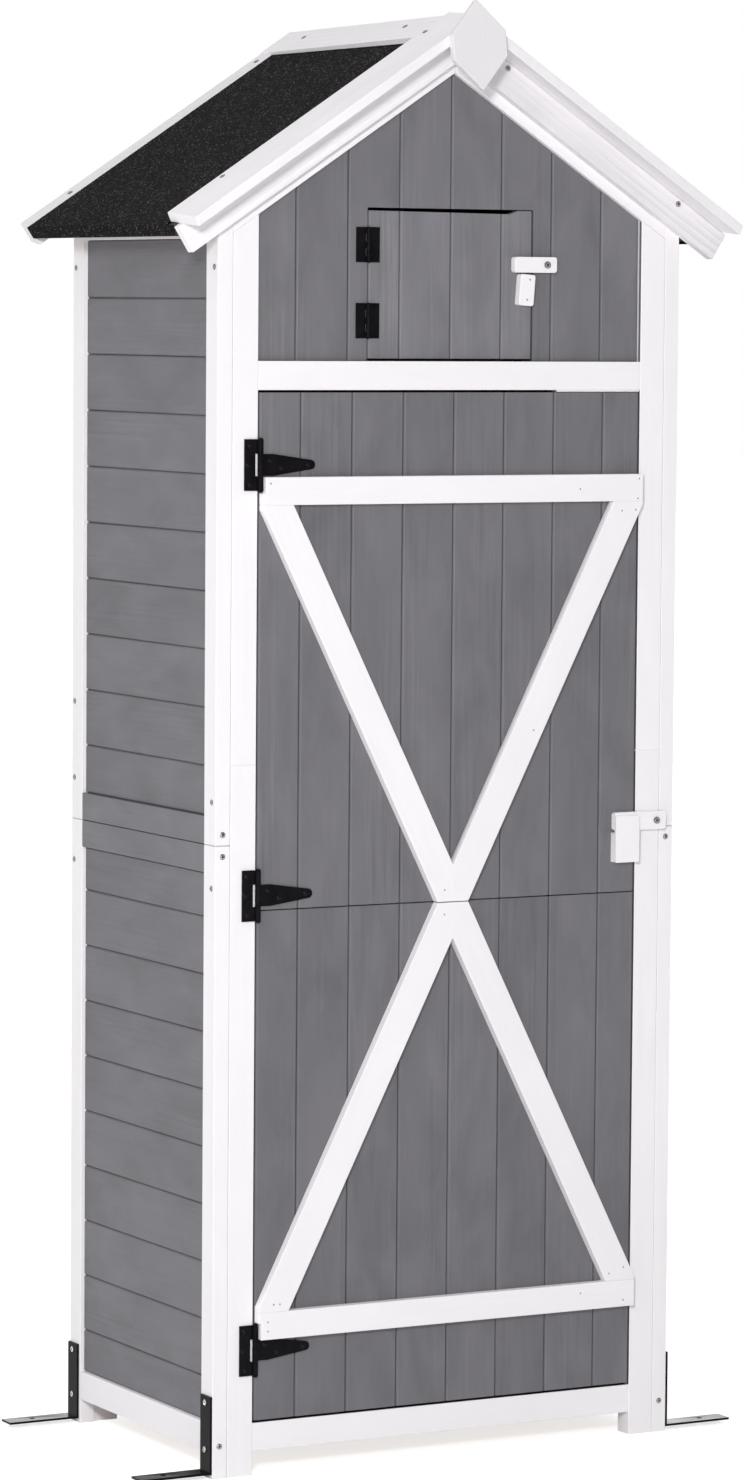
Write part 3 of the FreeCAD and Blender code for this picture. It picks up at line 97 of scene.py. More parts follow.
class Recipe:
    """A set of shader nodes being put together."""

    def __init__(self, tree):
        self.tree = tree
        tree.nodes.clear()

    def node(self, kind, settings, inputs, output=0):
        """Adds a node of a kind, sets it up, feeds its inputs and returns one of its outputs."""
        made = self.tree.nodes.new(kind)
        for key, setting in settings.items():
            if key == "stops":
                self.set_stops(made.color_ramp, setting)
            else:
                setattr(made, key, setting)
        for key, given in inputs.items():
            if isinstance(given, Value):
                self.tree.links.new(given.socket, made.inputs[key])
            else:
                made.inputs[key].default_value = given
        return Value(self, made.outputs[output] if made.outputs else None)

    def set_stops(self, ramp, stops):
        """Gives a ramp its stops: each a place from 0 to 1 and a grey level."""
        while len(ramp.elements) < len(stops):
            ramp.elements.new(0.5)
        for element, (place, level) in zip(ramp.elements, stops):
            element.position = place
            element.color = (level, level, level, 1)

    def attribute(self, name, output="Fac"):
        return self.node("ShaderNodeAttribute", {"attribute_name": name}, {}, output)

    def place(self, scale=(1, 1, 1), attribute=None):
        """Where a point lies: on the object, or along, across and through its own board."""
        if attribute:
            spot = self.attribute(attribute, "Vector")
        else:
            spot = self.node("ShaderNodeTexCoord", {}, {}, "Object")
        return self.node("ShaderNodeVectorMath", {"operation": "MULTIPLY"}, {0: spot, 1: scale})

    def tint(self, colour, factor):
        """A colour made lighter or darker by a varying factor."""
        return self.node("ShaderNodeVectorMath", {"operation": "SCALE"}, {0: colour, "Scale": factor})

    def noise(self, spot, scale=1.0, detail=2.0, rough=0.5, distort=0.0):
        """Cloudy noise about 0, mostly between -0.5 and 0.5."""
        inputs = {"Vector": spot, "Scale": scale, "Detail": detail, "Roughness": rough, "Distortion": distort}
        return self.node("ShaderNodeTexNoise", {}, inputs, "Fac") * 2.0 - 1.0

    def rings(self, spot, scale, distort):
        """Wavering year rings across a board, each fading in slowly and ending sharply, about 0."""
        inputs = {"Vector": spot, "Scale": scale, "Distortion": distort, "Detail": 2.0, "Detail Scale": 0.5,
                  "Detail Roughness": 0.6}
        settings = {"wave_type": "BANDS", "bands_direction": "Y", "wave_profile": "SAW"}
        return self.node("ShaderNodeTexWave", settings, inputs, "Fac") - 0.5

    def cells(self, spot, scale=1.0, output="Distance"):
        """Irregular cells: how far a point is from the middle of its own, or a colour for each."""
        return self.node("ShaderNodeTexVoronoi", {}, {"Vector": spot, "Scale": scale}, output)

    def ramp(self, value, stops):
        return self.node("ShaderNodeValToRGB", {"stops": stops}, {"Fac": value})

    def blend(self, factor, first, second):
        """One colour turning into another."""
        inputs = {0: factor, 6: first, 7: second}
        return self.node("ShaderNodeMix", {"data_type": "RGBA"}, inputs, 2)

    def bump(self, height, distance):
        return self.node("ShaderNodeBump", {}, {"Height": height, "Distance": distance})


class Finish(Recipe):
    """One surface finish: a Principled shader and the nodes that feed it."""

    def __init__(self, name):
        self.material = bpy.data.materials.new(name)
        self.material.use_nodes = True
        super().__init__(self.material.node_tree)

    def done(self, **sockets):
        """Feeds the Principled shader; a socket's name is written with underscores."""
        inputs = {name.replace("_", " "): given for name, given in sockets.items()}
        shader = self.node("ShaderNodeBsdfPrincipled", {}, inputs)
        self.node("ShaderNodeOutputMaterial", {}, {"Surface": shader})
        return self.material


def shade(colour, factor=1.0):
    """A colour made lighter or darker, with its alpha."""
    return tuple(min(1.0, c * factor) for c in colour) + (1.0,)


# Colours, as red, green and blue in linear light

WHITE = (0.885, 0.860, 0.885)
GREY = (0.152, 0.148, 0.162)
# Painted shade in the gaps round the door and the hatch, and in the joints
GAP_SHADE_BLACK = (0.01, 0.009, 0.01)
EARLY_WOOD = (0.70, 0.50, 0.30)
LATE_WOOD = (0.47, 0.29, 0.145)
KNOT = (0.17, 0.08, 0.035)
# Black for the stained ends of the roof deck, and painted shade on the front of the hatch's frame
BLACK_STAIN_AND_SHADE = (0.008, 0.007, 0.008)
BITUMEN = (0.004, 0.0036, 0.004)
GRIT = (0.32, 0.31, 0.32)
COATING = (0.003, 0.0026, 0.0034)
RUBBED_COATING = (0.008, 0.007, 0.0085)
# Zinc plate, then the painted shade in its cross and round its rim: bright, and then dull
BRIGHT_ZINC = (0.62, 0.6, 0.6)
BRIGHT_RECESS_SHADE = (0.05, 0.05, 0.05)
DULL_ZINC = (0.42, 0.41, 0.42)
DULL_RECESS_SHADE = (0.03, 0.028, 0.03)
FLOOR_GREY = (0.80, 0.80, 0.80)
FLOOR_WHITE = (0.82, 0.82, 0.82)
FLOOR_GLOW = (0.7, 0.7, 0.7)
BLACK = (0, 0, 0)


# Finishes


def painted_wood(name, colour, contrast, figure, relief, rough):
    """Paint brushed over planed softwood. Fine fibres and brush marks run along each board and
    come and go, wide patches are a little lighter or darker, year rings show through by figure,
    and each board has a tone of its own. Faces marked in a gap or a joint get painted shade, up to near
    black."""
    f = Finish(name)
    fibres = f.noise(f.place((24, 900, 600), "grain"), detail=3.0, rough=0.6)
    brush = f.noise(f.place((4.5, 150, 110), "grain"), detail=4.0, rough=0.65, distort=0.8)
    patches = f.noise(f.place((7, 17, 13), "grain"), detail=3.0, rough=0.55, distort=0.6)
    wander = f.noise(f.place((3, 21, 16), "grain"), detail=3.0, rough=0.55)
    rings = f.rings(f.place((0.07, 1, 1), "grain"), scale=34.0, distort=8.0)
    come_and_go = f.ramp(wander + 0.5, [(0.38, 0.0), (0.8, 1.5)])
    cells = f.cells(f.place((3.1, 8.5, 8.5), "grain"))
    knot = f.ramp(cells + fibres * 0.02, [(0.0, 1.0), (0.05, 0.75), (0.08, 0.0)])
    marks = brush * come_and_go * 1.6 + fibres * 0.5 + rings * (figure * come_and_go)
    level = 0.5 + marks * 0.5 + patches * 0.9 - knot * 0.35
    base = f.blend(level, shade(colour, 1 - contrast), shade(colour, 1 + contrast))
    base = f.tint(base, f.attribute("board"))
    # Painted shade, up to near black, on faces marked in a gap or a joint
    base = f.blend(f.attribute("shut"), base, shade(GAP_SHADE_BLACK))
    height = fibres * 0.2 + brush * come_and_go * 0.6 + rings * (0.4 * figure * come_and_go) - knot * 0.6
    return f.done(Base_Color=base, Roughness=rough + brush * 0.12, Normal=f.bump(height, relief),
                  Specular_IOR_Level=0.35)


# Further from the middle, in metres, than any piece reaches
BEYOND = 9.0


def bare_pine(name, axis="X", limit=BEYOND):
    """Unpainted planed pine: warm, with darker late-wood lines along each board and small knots.
    It is black further than the limit from the middle along an axis: a stain on the ends of the roof deck,
    and painted shade on the front of the hatch's frame."""
    f = Finish(name)
    rings = f.rings(f.place((0.06, 1, 1), "grain"), scale=26.0, distort=9.0)
    fibres = f.noise(f.place((16, 700, 500), "grain"), detail=3.0, rough=0.6)
    patches = f.noise(f.place((5, 14, 14), "grain"))
    cells = f.cells(f.place((3.4, 9, 9), "grain"))
    knot = f.ramp(cells + fibres * 0.03, [(0.0, 1.0), (0.09, 0.8), (0.13, 0.0)])
    level = 0.5 + rings * 0.65 + fibres * 0.4 + patches * 0.5
    wood = f.blend(level, shade(EARLY_WOOD), shade(LATE_WOOD))
    base = f.tint(f.blend(knot, wood, shade(KNOT)), f.attribute("board"))
    away = f.node("ShaderNodeSeparateXYZ", {}, {0: f.place()}, axis)
    edge = f.ramp(away.unsigned() + (0.5 - limit), [(0.5, 0.0), (0.5005, 1.0)])
    base = f.blend(edge, base, shade(BLACK_STAIN_AND_SHADE))
    return f.done(Base_Color=base, Roughness=0.6 + fibres * 0.08,
                  Normal=f.bump(fibres * 0.5 + rings * 0.5, 0.12 * MM))


# Grains of the felt's grit in a metre
GRIT_CELLS = 470.0


def mineral_felt(name):
    """Bitumen roofing felt: near black, with crushed mineral grit that catches the light."""
    f = Finish(name)
    spot = f.place()
    grit = f.cells(spot, GRIT_CELLS)
    chance = f.cells(spot, GRIT_CELLS, "Color")
    coarse = f.noise(spot, 400.0, detail=4.0, rough=0.7)
    patches = f.noise(spot, 8.0)
    sparkle = f.ramp(chance, [(0.68, 0.0), (0.96, 1.0)]) * f.ramp(grit, [(0.25, 1.0), (0.65, 0.0)])
    level = 0.012 + sparkle * 0.62 + coarse * 0.14 + patches * 0.01
    base = f.blend(level, shade(BITUMEN), shade(GRIT))
    height = (1 - grit) * 0.6 + coarse * 0.5
    return f.done(Base_Color=base, Roughness=0.9 - sparkle * 0.3, Normal=f.bump(height, 0.5 * MM),
                  Specular_IOR_Level=0.05)


def coated_steel(name, gloss, rough, polish=0.0):
    """Black coated steel with a faint orange-peel surface and slightly rubbed patches. Faces marked
    as trodden have a clear polish that mirrors what lies behind them."""
    f = Finish(name)
    spot = f.place()
    peel = f.noise(spot, 900.0)
    rubbed = f.noise(spot, 60.0, detail=3.0, rough=0.6)
    base = f.blend(rubbed + 0.5, shade(COATING), shade(RUBBED_COATING))
    clear = {"Coat_Weight": f.attribute("trodden") * polish, "Coat_Roughness": 0.12} if polish else {}
    return f.done(Base_Color=base, Roughness=rough + rubbed * 0.12, Normal=f.bump(peel, 0.02 * MM),
                  Specular_IOR_Level=gloss, **clear)


def zinc(name, bright, recess_shade_colour):
    """Zinc-plated screw heads: cloudy silver, with painted shade in the cross and round the rim, where they
    are darker and less metallic.
    """
    f = Finish(name)
    cloud = f.noise(f.place(), 700.0)
    hollow = f.attribute("hollow")
    plate = f.blend(cloud + 0.5, shade(bright, 0.8), shade(bright, 1.15))
    base = f.blend(hollow, plate, shade(recess_shade_colour))
    return f.done(Base_Color=base, Roughness=0.34 + cloud * 0.15, Metallic=1.0 - 0.5 * hollow,
                  Normal=f.bump(cloud, 0.03 * MM))


# The ends of the roof deck are stained black from here outwards; the front of the hatch's frame, seen only
# through the gap round the hatch, has black painted shade from here outwards
DECK_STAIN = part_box("roof_deck_right")[1][0] - 30 * MM
FRAME_SHADE = -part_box("hatch_frame")[0][1] - 1 * MM

FINISHES = {
    "white_paint": painted_wood("white_paint_on_pine", WHITE, contrast=0.022, figure=0.3,
                                relief=0.08 * MM, rough=0.5),
    "white_roof": painted_wood("white_paint_on_roof_boards", WHITE, contrast=0.045, figure=1.5,
                               relief=0.3 * MM, rough=0.5),
    "white_fascia": painted_wood("white_paint_on_fascia", WHITE, contrast=0.075, figure=2.2,
                                 relief=0.5 * MM, rough=0.5),
    "grey_paint": painted_wood("grey_paint_on_pine", GREY, contrast=0.17, figure=0.35,
                               relief=0.16 * MM, rough=0.55),
    "bare_pine": bare_pine("planed_pine"),
    "deck_pine": bare_pine("roof_deck_pine", "X", DECK_STAIN),
    "frame_pine": bare_pine("hatch_frame_pine", "Y", FRAME_SHADE),
    "roof_felt": mineral_felt("mineral_roof_felt"),
    "black_steel": coated_steel("black_coated_steel", gloss=0.045, rough=0.3),
    "bracket_steel": coated_steel("black_bracket_steel", gloss=0.06, rough=0.18, polish=1.0),
    "black_screws": coated_steel("black_screw_heads", gloss=0.14, rough=0.22),
    "zinc_screws": zinc("zinc_plate", BRIGHT_ZINC, BRIGHT_RECESS_SHADE),
    "dull_screws": zinc("weathered_zinc_plate", DULL_ZINC, DULL_RECESS_SHADE),
}
# Nodes with another finish than the one named as their slot
FINISH_OF = {"fascia_board_left": "white_roof", "fascia_board_right": "white_fascia",
             "front_roof_strip_left": "white_roof", "front_roof_strip_right": "white_roof",
             "rear_roof_strip_left": "white_roof", "rear_roof_strip_right": "white_roof",
             "ridge_caps": "white_roof", "roof_deck_left": "deck_pine", "roof_deck_right": "deck_pine",
             "hatch_frame": "frame_pine", "anchor_brackets": "bracket_steel"}


# Shapes


def read(items, what, width=1, kind=np.float64):
    """A property of a mesh's vertices, edges, faces or face corners, as an array."""
    flat = np.zeros(len(items) * width, kind)
    items.foreach_get(what, flat)
    return flat.reshape(-1, width) if width > 1 else flat


def write(mesh, name, domain, values):
    """Stores a number, or a row of three, on each point or face corner for a finish to read."""
    kind, what = ("FLOAT_VECTOR", "vector") if values.ndim > 1 else ("FLOAT", "value")
    layer = mesh.attributes.new(name, kind, domain)
    layer.data.foreach_set(what, values.astype(np.float32).ravel())


def islands(mesh):
    """A label for each vertex, the same for all vertices of one connected piece."""
    first, second = read(mesh.edges, "vertices", 2, np.int32).T
    label = np.arange(len(mesh.vertices))
    while True:
        lowest = np.minimum(label[first], label[second])
        fresh = label.copy()
        np.minimum.at(fresh, first, lowest)
        np.minimum.at(fresh, second, lowest)
        fresh = fresh[fresh]
        if np.array_equal(fresh, label):
            return label
        label = fresh


def of_faces(mesh, what):
    """The middles or the normals of a mesh's faces: three arrays, for X, Y and Z."""
    return read(mesh.polygons, what, 3).T


def onto_corners(mesh, marks):
    """A value of each face, repeated for each of the face's corners."""
    return np.repeat(marks, read(mesh.polygons, "loop_total", kind=np.int32))


def mark_faces(mesh, name, marks):
    """Stores a number for each face, from 0 to 1, for a finish to read."""
    write(mesh, name, "CORNER", onto_corners(mesh, marks))


# Points nearer to each other than this are one point
TOUCHING = 0.005 * MM


def merged(node):
    """A node's triangles with the points that they share joined, ready to be worked on."""
    work = bmesh.new()
    work.from_mesh(NODES[node].data)
    bmesh.ops.remove_doubles(work, verts=work.verts, dist=TOUCHING)
    return work


def finished(work, mesh):
    """Puts what was worked on into a mesh, and gives the mesh."""
    work.to_mesh(mesh)
    work.free()
    return mesh


# A board that lies within 14 degrees of X, Y or Z has its grain along it
SNAP = math.cos(math.radians(14))


def spread_axes(corners):
    """Columns that point the ways in which a set of points spreads, the least spread first."""
    return np.linalg.eigh(np.cov((corners - corners.mean(0)).T))[1]


def board_axes(corners):
    """Directions along, across and through a board, from the spread of its corners; one that
    nearly follows X, Y or Z follows it exactly."""
    axes = spread_axes(corners).T[::-1]
    for k, axis in enumerate(axes):
        strongest = np.argmax(np.abs(axis))
        axes[k] = axis * np.sign(axis[strongest])
    if np.abs(axes[0]).max() > SNAP:
        sizes = np.ptp(corners, axis=0)
        first = np.argmax(np.abs(axes[0]))
        rest = sorted((k for k in range(3) if k != first), key=lambda k: -sizes[k])
        axes = np.eye(3)[[first] + rest]
    return axes


# How much lighter or darker than the rest a node's boards are, and how much boards of one kind differ
TONES = {"hatch_boards": 1.24, "gable_boards": 1.06, "door_lower_boards": 0.98,
         "side_lower_boards_left": 0.97, "side_upper_boards_left": 0.97,
         "side_lower_boards_right": 0.97, "side_upper_boards_right": 0.97,
         "fascia_board_right": 0.87, "finial_plate": 0.86, "front_roof_strip_right": 0.95,
         "rear_roof_strip_left": 0.93, "rear_roof_strip_right": 0.93}
SPREAD = {"white_paint": 0.02, "grey_paint": 0.07, "bare_pine": 0.2}

# Frame pieces whose sides and tops lie in the gaps round the door and under the hatch and get painted shade,
# how far back the painted shade beside the door reaches, and between which heights
GAP_SIDES = ("front_bottom_rail", "front_cross_rail", "front_lower_stiles", "front_upper_stiles")
GAP_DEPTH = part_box("front_upper_stiles")[0][1] + 6 * MM
GAP_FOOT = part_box("front_bottom_rail")[1][2]
GAP_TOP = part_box("front_cross_rail")[0][2]
# Upright boards whose vee joints get painted shade on the side that faces away from the light
VEE_JOINTS = ("door_lower_boards", "door_upper_boards", "gable_boards", "hatch_boards")
# Corner posts that meet end to end, at which height, and how far from the joint its line of painted shade
# reaches
JOINED_POSTS = ("side_lower_posts_left", "side_upper_posts_left", "side_lower_posts_right",
                "side_upper_posts_right")
JOINT_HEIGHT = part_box("side_lower_posts_left")[1][2]
JOINT_LINE = 1.2 * MM
# How dark the painted shade is in the vee joints, the gaps beside the door and the joints of the posts; a gap
# is 1
VEE_SHADE = 0.45
BESIDE_SHADE = 0.85
JOINT_SHADE = 0.35
# How much of a face's normal lies along an axis, where the face leans that way, slants or is square
LEANING = 0.3
SLANTING = 0.4
SQUARE = 0.98


def lay_grain(mesh, name):
    """Stores on each face corner its place along, across and through its own board, and a tone
    about 1 that is the same over one board. Each board starts at its own place."""
    corners = read(mesh.vertices, "co", 3)
    chance = np.random.default_rng(zlib.crc32(name.encode()))
    held = read(mesh.loops, "vertex_index", kind=np.int32)
    board_of = islands(mesh)[held] * 2
    if name == "door_braces":
        # The braces of a pair are one solid, and each is a board of its own
        board_of += onto_corners(mesh, of_faces(mesh, "center")[0] > 0)
    grain = np.zeros((len(held), 3))
    tone = np.zeros(len(held))
    for board in np.unique(board_of):
        mine = board_of == board
        spots = corners[held[mine]]
        grain[mine] = (spots - spots.mean(0)) @ board_axes(spots).T + chance.uniform(0, 9, 3)
        tone[mine] = TONES.get(name, 1.0) + SPREAD[SLOT_OF[name]] * chance.uniform(-0.5, 0.5)
    write(mesh, "grain", "CORNER", grain)
    write(mesh, "board", "CORNER", tone)


def paint_gap_shade(mesh, name):
    """Paints shade on the faces that lie in a gap: fully on top of the rails and under the hatch, less
    beside the door, and less again in the vee joints and on the eased ends of the posts."""
    across, back, up = of_faces(mesh, "center")
    facing, ahead, rising = of_faces(mesh, "normal")
    if name in VEE_JOINTS:
        shaded = (facing > SLANTING) & (ahead < -LEANING)
        underside = (rising < -LEANING) & (name == "hatch_boards")
        mark_faces(mesh, "shut", np.maximum(shaded * VEE_SHADE, underside))
    if name in GAP_SIDES:
        inward = (np.abs(facing) > SQUARE) & (facing * across < 0)
        beside = inward & (back < GAP_DEPTH) & (up > GAP_FOOT) & (up < GAP_TOP)
        mark_faces(mesh, "shut", np.maximum(rising > SQUARE, beside * BESIDE_SHADE))
    if name in JOINED_POSTS:
        mark_faces(mesh, "shut", (np.abs(up - JOINT_HEIGHT) < JOINT_LINE) * JOINT_SHADE)


def show(mesh, name, body, slot, finish, *replaced):
    """Puts a finished mesh on its body, with its finish. The slot is not used."""
    mesh.materials.clear()
    mesh.materials.append(FINISHES[finish])
    piece = bpy.data.objects.new(name, mesh)
    bpy.context.scene.collection.objects.link(piece)
    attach(piece, body)
    if replaced:
        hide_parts(*replaced)


# Planes that divide a node's faces, so that each side of a plane can have its own grain or painted shade
ACROSS_MIDDLE = ((0, 0, 0), (1, 0, 0))
BEHIND_GAP = ((0, GAP_DEPTH, 0), (0, 1, 0))
BELOW_DOOR = ((0, 0, GAP_FOOT), (0, 0, 1))
CUTS = {"door_braces": [ACROSS_MIDDLE], "front_lower_stiles": [BEHIND_GAP, BELOW_DOOR],
        "front_upper_stiles": [BEHIND_GAP]}


# Faces that meet at less than this many degrees are made one flat face
FLAT = 0.6
# Into how many strips a rounded outline and an eased edge are divided
OUTLINE_STEPS = 5
EASE_STEPS = 2
# Edges this near to the way from front to back, that meet at this many degrees, are outline corners
AHEAD = 0.99
OUTLINE_SHARP = 60


def rounded(work, edges, radius, steps):
    bmesh.ops.bevel(work, geom=edges, offset=radius, offset_type="OFFSET", segments=steps, profile=0.5,
                    affect="EDGES", clamp_overlap=True)


def eased_copy(node, ease, sharp, corner=0.0):
    """A node's mesh with its triangles joined, flat faces whole and edges rounded by ease. The
    corners of its outline seen from the front are rounded first, by corner."""
    work = merged(node)
    bmesh.ops.dissolve_limit(work, angle_limit=math.radians(FLAT), verts=work.verts, edges=work.edges)
    for place, facing in CUTS.get(node, []):
        bmesh.ops.bisect_plane(work, geom=work.verts[:] + work.edges[:] + work.faces[:], dist=0.001 * MM,
                               plane_co=place, plane_no=facing)
    if corner:
        ahead = [e for e in work.edges if abs((e.verts[0].co - e.verts[1].co).normalized().y) > AHEAD
                 and e.calc_face_angle(0) > math.radians(OUTLINE_SHARP)]
        rounded(work, ahead, corner, OUTLINE_STEPS)
    edges = [e for e in work.edges if len(e.link_faces) == 2 and e.calc_face_angle(0) > math.radians(sharp)]
    rounded(work, edges, ease, EASE_STEPS)
    return finished(work, bpy.data.meshes.new(node + "_shape"))


def smooth(mesh, angle=24):
    """Curved faces shaded smoothly up to an angle between neighbours."""
    mesh.polygons.foreach_set("use_smooth", np.ones(len(mesh.polygons), bool))
    mesh.set_sharp_from_angle(angle=math.radians(angle))


# How far edges are rounded, and from which angle between its faces an edge counts as sharp
FRAME_EASE = 0.9 * MM
BOARD_EASE = 0.8 * MM
FELT_EASE = 0.5 * MM
STEEL_EASE = 0.35 * MM
PIVOT_EASE = 0.3 * MM
WOOD_SHARP = 25
STEEL_SHARP = 40
# Wooden pieces with rounded outlines, seen from the front: radii in millimetres
ROUNDED = {"door_turn_bar": 4, "hatch_turn_bar": 3.5, "hatch_handle": 3, "door_handle_block": 1.5}
WOODEN = ("white_paint", "grey_paint", "bare_pine")
SCREW_NODES = ("frame_screws", "bracket_screws", "strap_screws", "turn_bar_screws")
# The tops of the brackets' feet are the faces below this height whose normals rise this much
FOOT_TOP = 15 * MM
RISING = 0.9


def timber(node, ease, corner=0.0):
    """A wooden node with its sawn edges eased and its grain laid along each board."""
    mesh = eased_copy(node, ease, WOOD_SHARP, corner)
    if corner:
        smooth(mesh)
    lay_grain(mesh, node)
    paint_gap_shade(mesh, node)
    finish = FINISH_OF.get(node, SLOT_OF[node])
    show(mesh, node + "_timber", BODY_OF[node], SLOT_OF[node], finish, node)


def steel(node, ease):
    """A node of steel or felt with its edges rounded and its curved faces smooth. The brackets'
    feet are trodden, all but the front one on the left."""
    mesh = eased_copy(node, ease, STEEL_SHARP)
    smooth(mesh)
    if node == "anchor_brackets":
        across, back, up = of_faces(mesh, "center")
        feet = (of_faces(mesh, "normal")[2] > RISING) & (up < FOOT_TOP)
        mark_faces(mesh, "trodden", feet & ((across > 0) | (back > 0)))
    finish = FINISH_OF.get(node, SLOT_OF[node])
    show(mesh, node + "_steel", BODY_OF[node], SLOT_OF[node], finish, node)


def dress_nodes():
    """Every node but the screws gets its eased edges and its finish."""
    for node, slot in SLOT_OF.items():
        if node in SCREW_NODES:
            continue
        if slot in WOODEN:
            thin = "boards" in node or node == "gable_shelf"
            timber(node, BOARD_EASE if thin else FRAME_EASE, ROUNDED.get(node, 0) * MM)
        else:
            steel(node, FELT_EASE if slot == "roof_felt" else STEEL_EASE)


dress_nodes()


# Screws: a domed head with a cross recess


# A head's rings, as shares of its radius, and the points round each of them
REACH = np.array([0.0, 0.13, 0.2, 0.34, 0.52, 0.6, 0.8, 0.93, 1.0])
SPOKES = 32
# The height of the rim and the depth of the cross as shares of the height, and the half width and the
# length of the cross's arms as shares of the radius
RIM_HEIGHT = 0.25
CROSS_DEPTH = 0.55
ARM_HALF_WIDTH = 0.17
ARM_LENGTH = 0.55


def head_grid(radius, height):
    """A pan head as rings of points about Z. Its height falls with the fourth power of the distance
    from the axis, from the crown to the rim, which is a quarter as high, and a cross is sunk in it.
    Gives the points, and the painted shade: 1 in the cross and at the rim and 0 between."""
    reach = REACH[:, None]
    turn = np.linspace(0, 2 * math.pi, SPOKES, endpoint=False)[None, :]
    x = reach * np.cos(turn)
    y = reach * np.sin(turn)
    near, far = np.minimum(np.abs(x), np.abs(y)), np.maximum(np.abs(x), np.abs(y))
    cross = (near < ARM_HALF_WIDTH) & (far < ARM_LENGTH)
    z = height * ((1 - reach ** 4) * (1 - RIM_HEIGHT) + RIM_HEIGHT - CROSS_DEPTH * cross)
    grid = np.stack([x * radius, y * radius, z], -1).reshape(-1, 3)
    foot = np.stack([radius * np.cos(turn[0]), radius * np.sin(turn[0]), np.zeros(SPOKES)], -1)
    hollow = np.maximum(cross, reach > 0.9).ravel().astype(float)
    return np.vstack([grid, foot]), np.concatenate([hollow, np.ones(SPOKES)])


def head_faces():
    """Quads between neighbouring rings of a head and down its outer wall, and the flat underside."""
    ring = np.arange(len(REACH))[:, None] * SPOKES
    spoke = np.arange(SPOKES)[None, :]
    after = (spoke + 1) % SPOKES
    quads = np.stack([ring + spoke, ring + SPOKES + spoke, ring + SPOKES + after, ring + after], -1)
    underside = len(REACH) * SPOKES + np.arange(SPOKES)[::-1]
    return quads.reshape(-1, 4), underside


# Two slanting directions, one for normals that point sideways and one for those that point up or down
UPWARD_SLANT = (0.31, 0.17, 0.93)
SIDEWAYS_SLANT = (1.0, 0.2, 0.0)


def frame_along(normal, twist):
    """Rows of a turned set of axes whose third one is the normal."""
    normal = normal / np.linalg.norm(normal)
    side = np.cross(normal, UPWARD_SLANT if abs(normal[2]) < 0.9 else SIDEWAYS_SLANT)
    side /= np.linalg.norm(side)
    other = np.cross(normal, side)
    across = side * math.cos(twist) + other * math.sin(twist)
    return np.array([across, np.cross(normal, across), normal])


def joined_heads(name, body, slot, finish, places, *replaced):
    """One mesh of screw heads; each place is a centre on the surface, a normal, radius and height."""
    chance = np.random.default_rng(zlib.crc32(name.encode()))
    quads, underside = head_faces()
    corners, painted_recess_shades, faces, start = [], [], [], 0
    for centre, normal, radius, height in places:
        head, hollow = head_grid(radius, height)
        corners.append(head @ frame_along(np.array(normal), chance.uniform(0, 1.5)) + centre)
        painted_recess_shades.append(hollow)
        faces += (quads + start).tolist() + [(underside + start).tolist()]
        start += len(head)
    mesh = bpy.data.meshes.new(name + "_shape")
    mesh.from_pydata(np.vstack(corners).tolist(), [], faces)
    write(mesh, "hollow", "POINT", np.concatenate(painted_recess_shades))
    work = bmesh.new()
    work.from_mesh(mesh)
    bmesh.ops.remove_doubles(work, verts=work.verts, dist=TOUCHING)
    bmesh.ops.recalc_face_normals(work, faces=work.faces)
    finished(work, mesh)
    smooth(mesh, angle=35)
    show(mesh, name, body, slot, finish, *replaced)


# A point inside the cabinet, which every screw head faces away from
MIDDLE = np.array((0.0, 0.0, 1.0))


def heads_of(node):
    """Where the node's flat round heads lie: seat centre, outward normal, radius and thickness."""
    mesh = finished(merged(node), bpy.data.meshes.new("scratch"))
    corners = read(mesh.vertices, "co", 3)
    label = islands(mesh)
    found = []
    for head in np.unique(label):
        mine = corners[label == head]
        centre = (mine.max(0) + mine.min(0)) / 2
        axes = spread_axes(mine)
        normal = axes[:, 0]
        if normal @ (centre - MIDDLE) < 0:
            normal = -normal
        depth = np.ptp((mine - centre) @ normal)
        radius = np.ptp((mine - centre) @ axes[:, 1]) / 2
        found.append((centre - normal * depth / 2, normal, radius, depth))
    bpy.data.meshes.remove(mesh)
    return found


# The heads on the hinge plates are no larger than this in radius, and the others are larger
HINGE_SCREW = 3.3 * MM
frame_heads = heads_of("frame_screws")
joined_heads("frame_screw_heads", "cabinet", "zinc_screws", "dull_screws",
             [place for place in frame_heads if place[2] > HINGE_SCREW], "frame_screws")
joined_heads("hinge_plate_screw_heads", "cabinet", "black_steel", "black_screws",
             [place for place in frame_heads if place[2] <= HINGE_SCREW])
joined_heads("bracket_screw_heads", "cabinet", "zinc_screws", "zinc_screws",
             heads_of("bracket_screws"), "bracket_screws")
joined_heads("strap_screw_heads", "main_door", "black_steel", "black_screws",
             heads_of("strap_screws"), "strap_screws")

FRONT = np.array((0.0, -1.0, 0.0))
# The two pivot screws keep the node's shanks and heads, with a crossed head laid over each: within
# how much of the front a point belongs to the flat head, and the crossed one's share of its width and
# its height
PIVOT_HEAD = 1.5 * MM
PIVOT_SHARE = 0.97
PIVOT_HEIGHT = 0.5 * MM


def pivot_heads():
    """Crossed heads just in front of the flat heads of the turn bars' screws."""
    mesh = eased_copy("turn_bar_screws", PIVOT_EASE, STEEL_SHARP)
    corners = read(mesh.vertices, "co", 3)
    label = islands(mesh)
    smooth(mesh)
    write(mesh, "hollow", "POINT", np.zeros(len(corners)))
    places = []
    for screw in np.unique(label):
        mine = corners[label == screw]
        face = mine[:, 1].min()
        head = mine[mine[:, 1] < face + PIVOT_HEAD]
        centre = (head.max(0) + head.min(0)) / 2
        centre[1] = face
        places.append((centre, FRONT, np.ptp(head[:, 0]) / 2 * PIVOT_SHARE, PIVOT_HEIGHT))
    show(mesh, "turn_bar_screws_steel", "cabinet", "zinc_screws", "dull_screws", "turn_bar_screws")
    joined_heads("turn_bar_screw_heads", "cabinet", "zinc_screws", "dull_screws", places)


pivot_heads()

